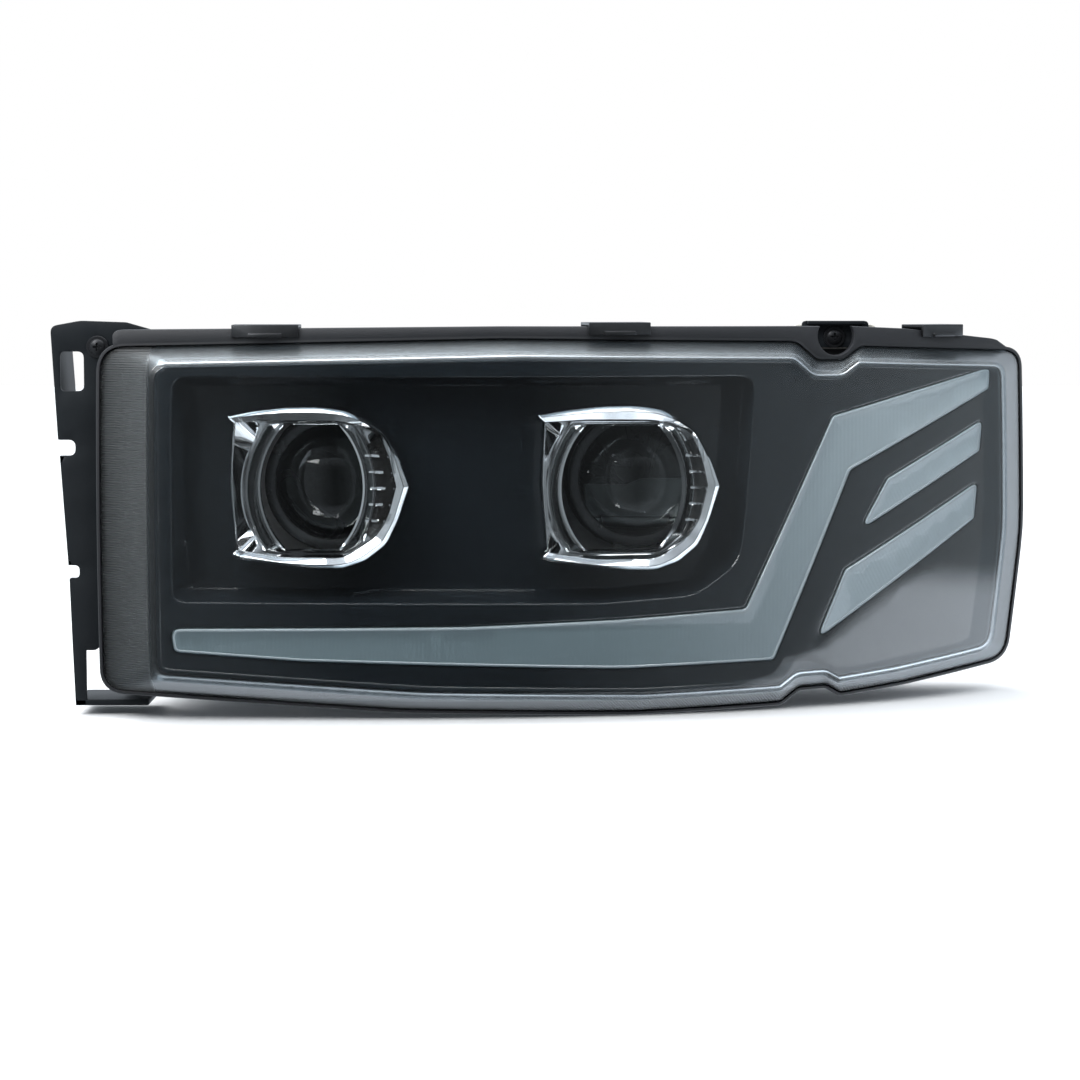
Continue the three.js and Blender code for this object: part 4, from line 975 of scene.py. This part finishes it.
def make_ledge():
    """The ledge above the cover: its own top line, closed along the top of the rim."""
    form = Form()
    top = rounded(LEDGE[:7], 0.3)
    top = top[(top[:, 1] > 236) & (top[:, 0] > -267.9) & (top[:, 0] < 318)]
    top = top[np.argsort(top[:, 0])]
    under = inset(edge, -1.5)
    under = under[(under[:, 1] > 200) & (under[:, 0] > -268) & (under[:, 0] < 318)]
    under = under[np.argsort(-under[:, 0])]
    top[:, 1] = np.maximum(top[:, 1], np.interp(top[:, 0], under[::-1, 0], under[::-1, 1]) + 1.2)
    turns = np.radians(np.linspace(150, 390, 21))
    dip = np.stack([DIP_X + DIP_R * np.cos(turns), DIP_Z + DIP_R * np.sin(turns)], axis=1)
    top = np.vstack([top[top[:, 0] < dip[0, 0] - 0.5], dip, top[top[:, 0] > dip[-1, 0] + 0.5]])
    ledge = dense(np.vstack([top, under]), 6.0)
    profile = [(0.7, 24.0), (0.2, 24.2), (0.0, 24.8), (0.0, 39.2), (0.2, 39.8), (0.7, 40.0)]
    rings = form.wall(ledge, profile)
    form.fill(rings[0], step=9.0, depth=24.0)
    form.fill(rings[-1], step=9.0, depth=40.0)
    return form.mesh("housing_ledge", sharp=36)


def make_bosses():
    form = Form()
    for profile, x, z in [([(2.9, 58.4), (7.0, 58.4), (7.5, 59.0), (7.5, 80.0), (2.9, 80.0)], -280, 235),
                          ([(5.35, 198.0), (9.4, 198.0), (10.0, 198.6), (10.0, 211.0), (5.35, 211.0)],
                           -36, 205)]:
        part = spun(profile + profile[:1], x, z, 40)
        start = len(form.points)
        form.points += part.points
        form.faces += [tuple(i + start for i in f) for f in part.faces]
        form.marks += part.marks
    block(form, -275.5, -262, 62, 76, 222, 234, 0.8)
    block(form, 180, 208, 136.9, 152, 205, 249, 0.8)
    block(form, -269, -250, 78, 92, 14, 30, 0.8)
    for x in (-175, -88, 8, 28, 106):
        block(form, x - 0.9, x + 0.9, 210.5, 215.0, 40, 90, 0.3)
    for x in (-236, 150, 190, 225, 262):
        block(form, x - 0.9, x + 0.9, 210.5, 215.0, 60, 190, 0.3)
    return form.mesh("housing_bosses", sharp=36)


piece("housing_tub", make_housing(), HOUSING, "housing", ["rear_housing"], "housing_black")
ledge = piece("housing_ledge", make_ledge(), HOUSING, "housing", ["rear_housing"], "housing_black")
piece("housing_bosses", make_bosses(), HOUSING, "housing", ["rear_housing"], "housing_black")

# %% [markdown]
# ## Screws
# Each visible screw has a domed pan head with a cross recess and a broad flange. The recess is cut into a
# fine round net by pushing points down inside the cross, so no boolean is needed.

# %% Build screws
def make_screw(x, z, head_y, name, washer=7.0, dome=4.6):
    form = Form()
    turn = np.linspace(0, 2 * math.pi, 72, endpoint=False)
    radii = [0.35, 0.7, 1.1, 1.5, 1.9, 2.3, 2.7, 3.1, 3.5, 3.9, 4.2, dome]
    form.points.append((x, head_y - 0.6, z))
    rings = [[0]]
    for r in radii:
        px, pz = r * np.cos(turn), r * np.sin(turn)
        cross = (np.minimum(np.abs(px), np.abs(pz)) < 0.55) & (np.maximum(np.abs(px), np.abs(pz)) < 2.5)
        y = head_y - 3.0 + 0.055 * r * r + np.where(cross | (r < 0.8), 1.9 - 0.3 * r, 0.0)
        flat = np.stack([x + px, z + pz], axis=1)
        rings.append(form.ring(flat, lambda outline, y=y: y))
    for r, y in [(5.0, head_y - 1.3), (5.1, head_y - 1.05), (washer - 0.3, head_y - 0.95),
                 (washer, head_y - 0.7),
                 (washer, head_y - 0.05), (2.5, head_y), (2.5, head_y + 15.5), (1.6, head_y + 16.0)]:
        flat = np.stack([x + r * np.cos(turn), z + r * np.sin(turn)], axis=1)
        rings.append(form.ring(flat, level(y)))
    for a, b in zip(rings, rings[1:]):
        if len(a) == 1:
            for i in range(72):
                form.faces.append((a[0], b[i], b[(i + 1) % 72]))
                form.marks.append(0)
        else:
            form.bridge(a, b)
    form.faces.append(tuple(rings[-1]))
    form.marks.append(0)
    return form.mesh(name, sharp=35)


piece("bracket_screw_head", make_screw(-280, 235, 53.65, "bracket_screw_head"), SCREW, "housing",
      ["bracket_screw"], "black_screw")
piece("top_screw_head", make_screw(194, 240, 130.65, "top_screw_head"), SCREW, "housing",
      ["top_tab_screw"], "black_screw")
foot = make_screw(0, 0, 0, "foot_screw_head")
to_zero = Matrix.Translation(-Vector(put(0, 0, 0)))
foot.transform(Matrix.Translation(put(-262, 85, 5.65)) @ Matrix.Rotation(math.pi / 2, 4, "X") @ to_zero)
piece("foot_screw_head", foot, SCREW, "housing", ["foot_screw"], "black_screw")

# %% [markdown]
# ## Softened copies
# Many small fittings already have the right shape in the measured model but with knife-sharp edges. A copy
# of the mesh is merged into clean flat faces and its edges are bevelled, which is what catches a
# highlight.

# %% Soften a measured node
def softened(node, name, finish, body, slot, width=0.5, segments=2, angle=30):
    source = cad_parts[node]
    data = source.data.copy()
    data.name = name
    data.transform(source.matrix_world)
    bm = bmesh.new()
    bm.from_mesh(data)
    bmesh.ops.remove_doubles(bm, verts=bm.verts, dist=1e-6)
    bmesh.ops.dissolve_limit(bm, angle_limit=math.radians(1.5), verts=bm.verts, edges=bm.edges)
    keen = [e for e in bm.edges if len(e.link_faces) == 2 and e.calc_face_angle(0.0) > math.radians(angle)]
    bmesh.ops.bevel(bm, geom=keen, offset=width / 1000, segments=segments, profile=0.5, affect="EDGES",
                    clamp_overlap=True)
    bm.to_mesh(data)
    bm.free()
    data.materials.clear()
    data.shade_smooth()
    data.set_sharp_from_angle(angle=math.radians(28))
    return piece(name, data, finish, body, [node], slot)


SOFT = [
    ("lens_clip_top_1", SPRING, "housing", "spring_steel", 0.5),
    ("lens_clip_top_2", SPRING, "housing", "spring_steel", 0.5),
    ("lens_clip_top_3", SPRING, "housing", "spring_steel", 0.5),
    ("top_tab", POWDER, "housing", "bracket_black", 0.5),
    ("top_tab_backing", NYLON, "housing", "zinc_steel", 0.4),
    ("main_connector", CAP, "housing", "housing_black", 0.4),
    ("level_motor", CAP, "housing", "cap_black", 0.8), ("high_beam_cap", CAP, "high_cap", "cap_black", 0.7),
    ("low_beam_cap", CAP, "low_cap", "cap_black", 0.7),
    ("level_knob", NYLON, "level_knob", "natural_nylon", 0.4),
    ("side_screw", NYLON, "side_screw", "natural_nylon", 0.4),
    ("breather_inboard", RUBBER, "housing", "seal_rubber", 0.4),
    ("breather_outboard", RUBBER, "housing", "seal_rubber", 0.4),
    ("side_bush", NYLON, "housing", "natural_nylon", 0.3),
]
for node, finish, body, slot, width in SOFT:
    softened(node, node + "_soft", finish, body, slot, width)

# %% [markdown]
# ## Finishes for the parts inside
# Seals, boards, reflectors and the aiming gear keep their measured shapes and only need finishes.

# %% Dress the remaining nodes
INSIDE = {
    "lens_seal": RUBBER, "high_cap_seal": RUBBER, "low_cap_seal": RUBBER, "drl_tray": TRAY,
    "drl_board_main": BOARD,
    "drl_board_middle": BOARD, "drl_board_lower": BOARD, "pivot_stud": ZINC, "pivot_cup": NYLON,
    "carrier_frame": ALLOY,
    "high_projector_holder": TUNNEL, "low_projector_holder": TUNNEL, "high_reflector": SMOKED,
    "low_reflector": SMOKED,
    "high_bulb": CAPSULE, "low_bulb": CAPSULE, "high_bulb_plug": CAP, "low_bulb_plug": CAP,
    "level_socket": NYLON,
    "side_socket": NYLON, "shutter_pin": ZINC, "shutter_solenoid": ZINC, "cutoff_shutter": SPRING,
    "level_rod": NYLON,
    "side_ball_nut": NYLON,
}
for node, finish in INSIDE.items():
    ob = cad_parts[node]
    for slot in ob.material_slots:
        slot.material = finish
print("dressed", len(INSIDE), "nodes")

# %% [markdown]
# ## Floor, light and camera
# A plain white floor carries the lamp. A wide soft light from above and behind gives a shadow that falls
# to the front and right, and a second one from the upper left opens up the shapes. What a glossy lamp
# shows most is the room it stands in, so the room is drawn with care: dim in front, paler to the left, and
# bright at the outboard side, where the wrapped end of the cover picks it up. The floor is left out of the
# reflections.

# %% Floor
floor_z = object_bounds()[0][2]
PAPER = opaque("studio paper", (0.86, 0.86, 0.86), (0.9, 0.9, 0.9), 0.9, bump=0.0, hair=0.0, dust=0.0)
floor_data = bpy.data.meshes.new("studio_floor")
floor_data.from_pydata([(-6, -6, floor_z), (6, -6, floor_z), (6, 6, floor_z), (-6, 6, floor_z)], [],
                       [(0, 1, 2, 3)])
floor_ob = bpy.data.objects.new("studio_floor", floor_data)
bpy.context.scene.collection.objects.link(floor_ob)
floor_ob.data.materials.append(PAPER)
floor_ob.visible_glossy = False
floor_ob.visible_transmission = False
print("floor at", round(floor_z, 4))


# %% Lights
def area(name, where, aim, size, power, colour=(1, 1, 1), tall=None):
    light = bpy.data.lights.new(name, "AREA")
    light.shape = "RECTANGLE"
    light.size, light.size_y = size, tall or size
    light.energy, light.color = power, colour
    ob = bpy.data.objects.new(name, light)
    ob.location = where
    ob.rotation_euler = (Vector(aim) - Vector(where)).to_track_quat("-Z", "Y").to_euler()
    bpy.context.scene.collection.objects.link(ob)
    return ob


middle = put(20, 20, 120)
sun = bpy.data.lights.new("sky_opening", "SUN")
sun.energy, sun.angle = 2.95, math.radians(60)
sun_ob = bpy.data.objects.new("sky_opening", sun)
sun_ob.visible_glossy = False
sun_ob.rotation_euler = (Vector((0.5, -0.55, -1.0))).to_track_quat("-Z", "Y").to_euler()
bpy.context.scene.collection.objects.link(sun_ob)
area("upper_left", put(-1100, -1100, 1300), middle, 0.8, 16)
area("top_box", put(0, -420, 1100), middle, 1.3, 7, tall=0.35)


def make_world():
    world = bpy.data.worlds.new("studio")
    world.use_nodes = True
    tree = world.node_tree
    tree.nodes.clear()
    path = add(tree, "ShaderNodeLightPath")
    where = add(tree, "ShaderNodeTexCoord").outputs["Generated"]
    axes = add(tree, "ShaderNodeSeparateXYZ", {0: where})
    across = add(tree, "ShaderNodeMapRange", {"Value": axes.outputs[0], "From Min": -1.0,
                                              "From Max": 1.0}).outputs[0]
    band = add(tree, "ShaderNodeValToRGB", {0: across})
    stops = [(0.0, 0.6), (0.3, 0.4), (0.43, 0.18), (0.5, 0.035), (0.62, 0.055), (0.75, 0.2), (0.9, 0.34),
             (1.0, 0.55)]
    while len(band.color_ramp.elements) < len(stops):
        band.color_ramp.elements.new(0.5)
    for element, (place, tone) in zip(band.color_ramp.elements, stops):
        element.position, element.color = place, (tone * 0.88, tone * 0.97, tone * 1.04, 1)
    above = ramp(tree, axes.outputs[2], 0.25, 0.8, 0.0, 0.75)
    behind = ramp(tree, axes.outputs[1], 0.1, 0.8, 0.0, 0.8)
    slant = reckon(tree, "MULTIPLY_ADD", axes.outputs[0], -0.86, axes.outputs[2])
    right_low = reckon(tree, "MULTIPLY", ramp(tree, slant, -0.98, -0.95, 1.7, 0.0),
                       ramp(tree, axes.outputs[2], -0.18, -0.13, 1.0, 0.0))
    extra = reckon(tree, "ADD", reckon(tree, "MAXIMUM", above, behind), right_low)
    cool = add(tree, "ShaderNodeCombineColor", {0: reckon(tree, "MULTIPLY", extra, 0.96), 1: reckon(
        tree, "MULTIPLY", extra, 1.04), 2: reckon(tree, "MULTIPLY", extra, 1.14)}).outputs[0]
    lift = add(tree, "ShaderNodeMix", {0: 1.0, 6: band.outputs[0], 7: cool}, data_type="RGBA",
               blend_type="ADD")
    room = add(tree, "ShaderNodeBackground", {"Color": lift.outputs[2], "Strength": 1.0})
    white = add(tree, "ShaderNodeBackground", {"Color": (1, 1, 1, 1), "Strength": 1.0})
    mix = add(tree, "ShaderNodeMixShader")
    tree.links.new(path.outputs["Is Camera Ray"], mix.inputs[0])
    tree.links.new(room.outputs[0], mix.inputs[1])
    tree.links.new(white.outputs[0], mix.inputs[2])
    out = add(tree, "ShaderNodeOutputWorld")
    tree.links.new(mix.outputs[0], out.inputs[0])
    return world


bpy.context.scene.world = make_world()
print("lights ready")

# %% Camera
aim = Vector(put(0, 0, 117))
tilt = math.radians(5)
camera_data = bpy.data.cameras.new("camera")
camera_data.lens, camera_data.sensor_width = 97.1, 36.0
camera_data.dof.use_dof = False
camera = bpy.data.objects.new("camera", camera_data)
camera.location = aim + 1.8 * Vector((0, -math.cos(tilt), math.sin(tilt)))
camera.rotation_euler = (aim - camera.location).to_track_quat("-Z", "Y").to_euler()
bpy.context.scene.collection.objects.link(camera)
bpy.context.scene.camera = camera
bpy.context.scene.view_settings.view_transform = "Standard"
print("camera at", [round(v, 3) for v in camera.location])
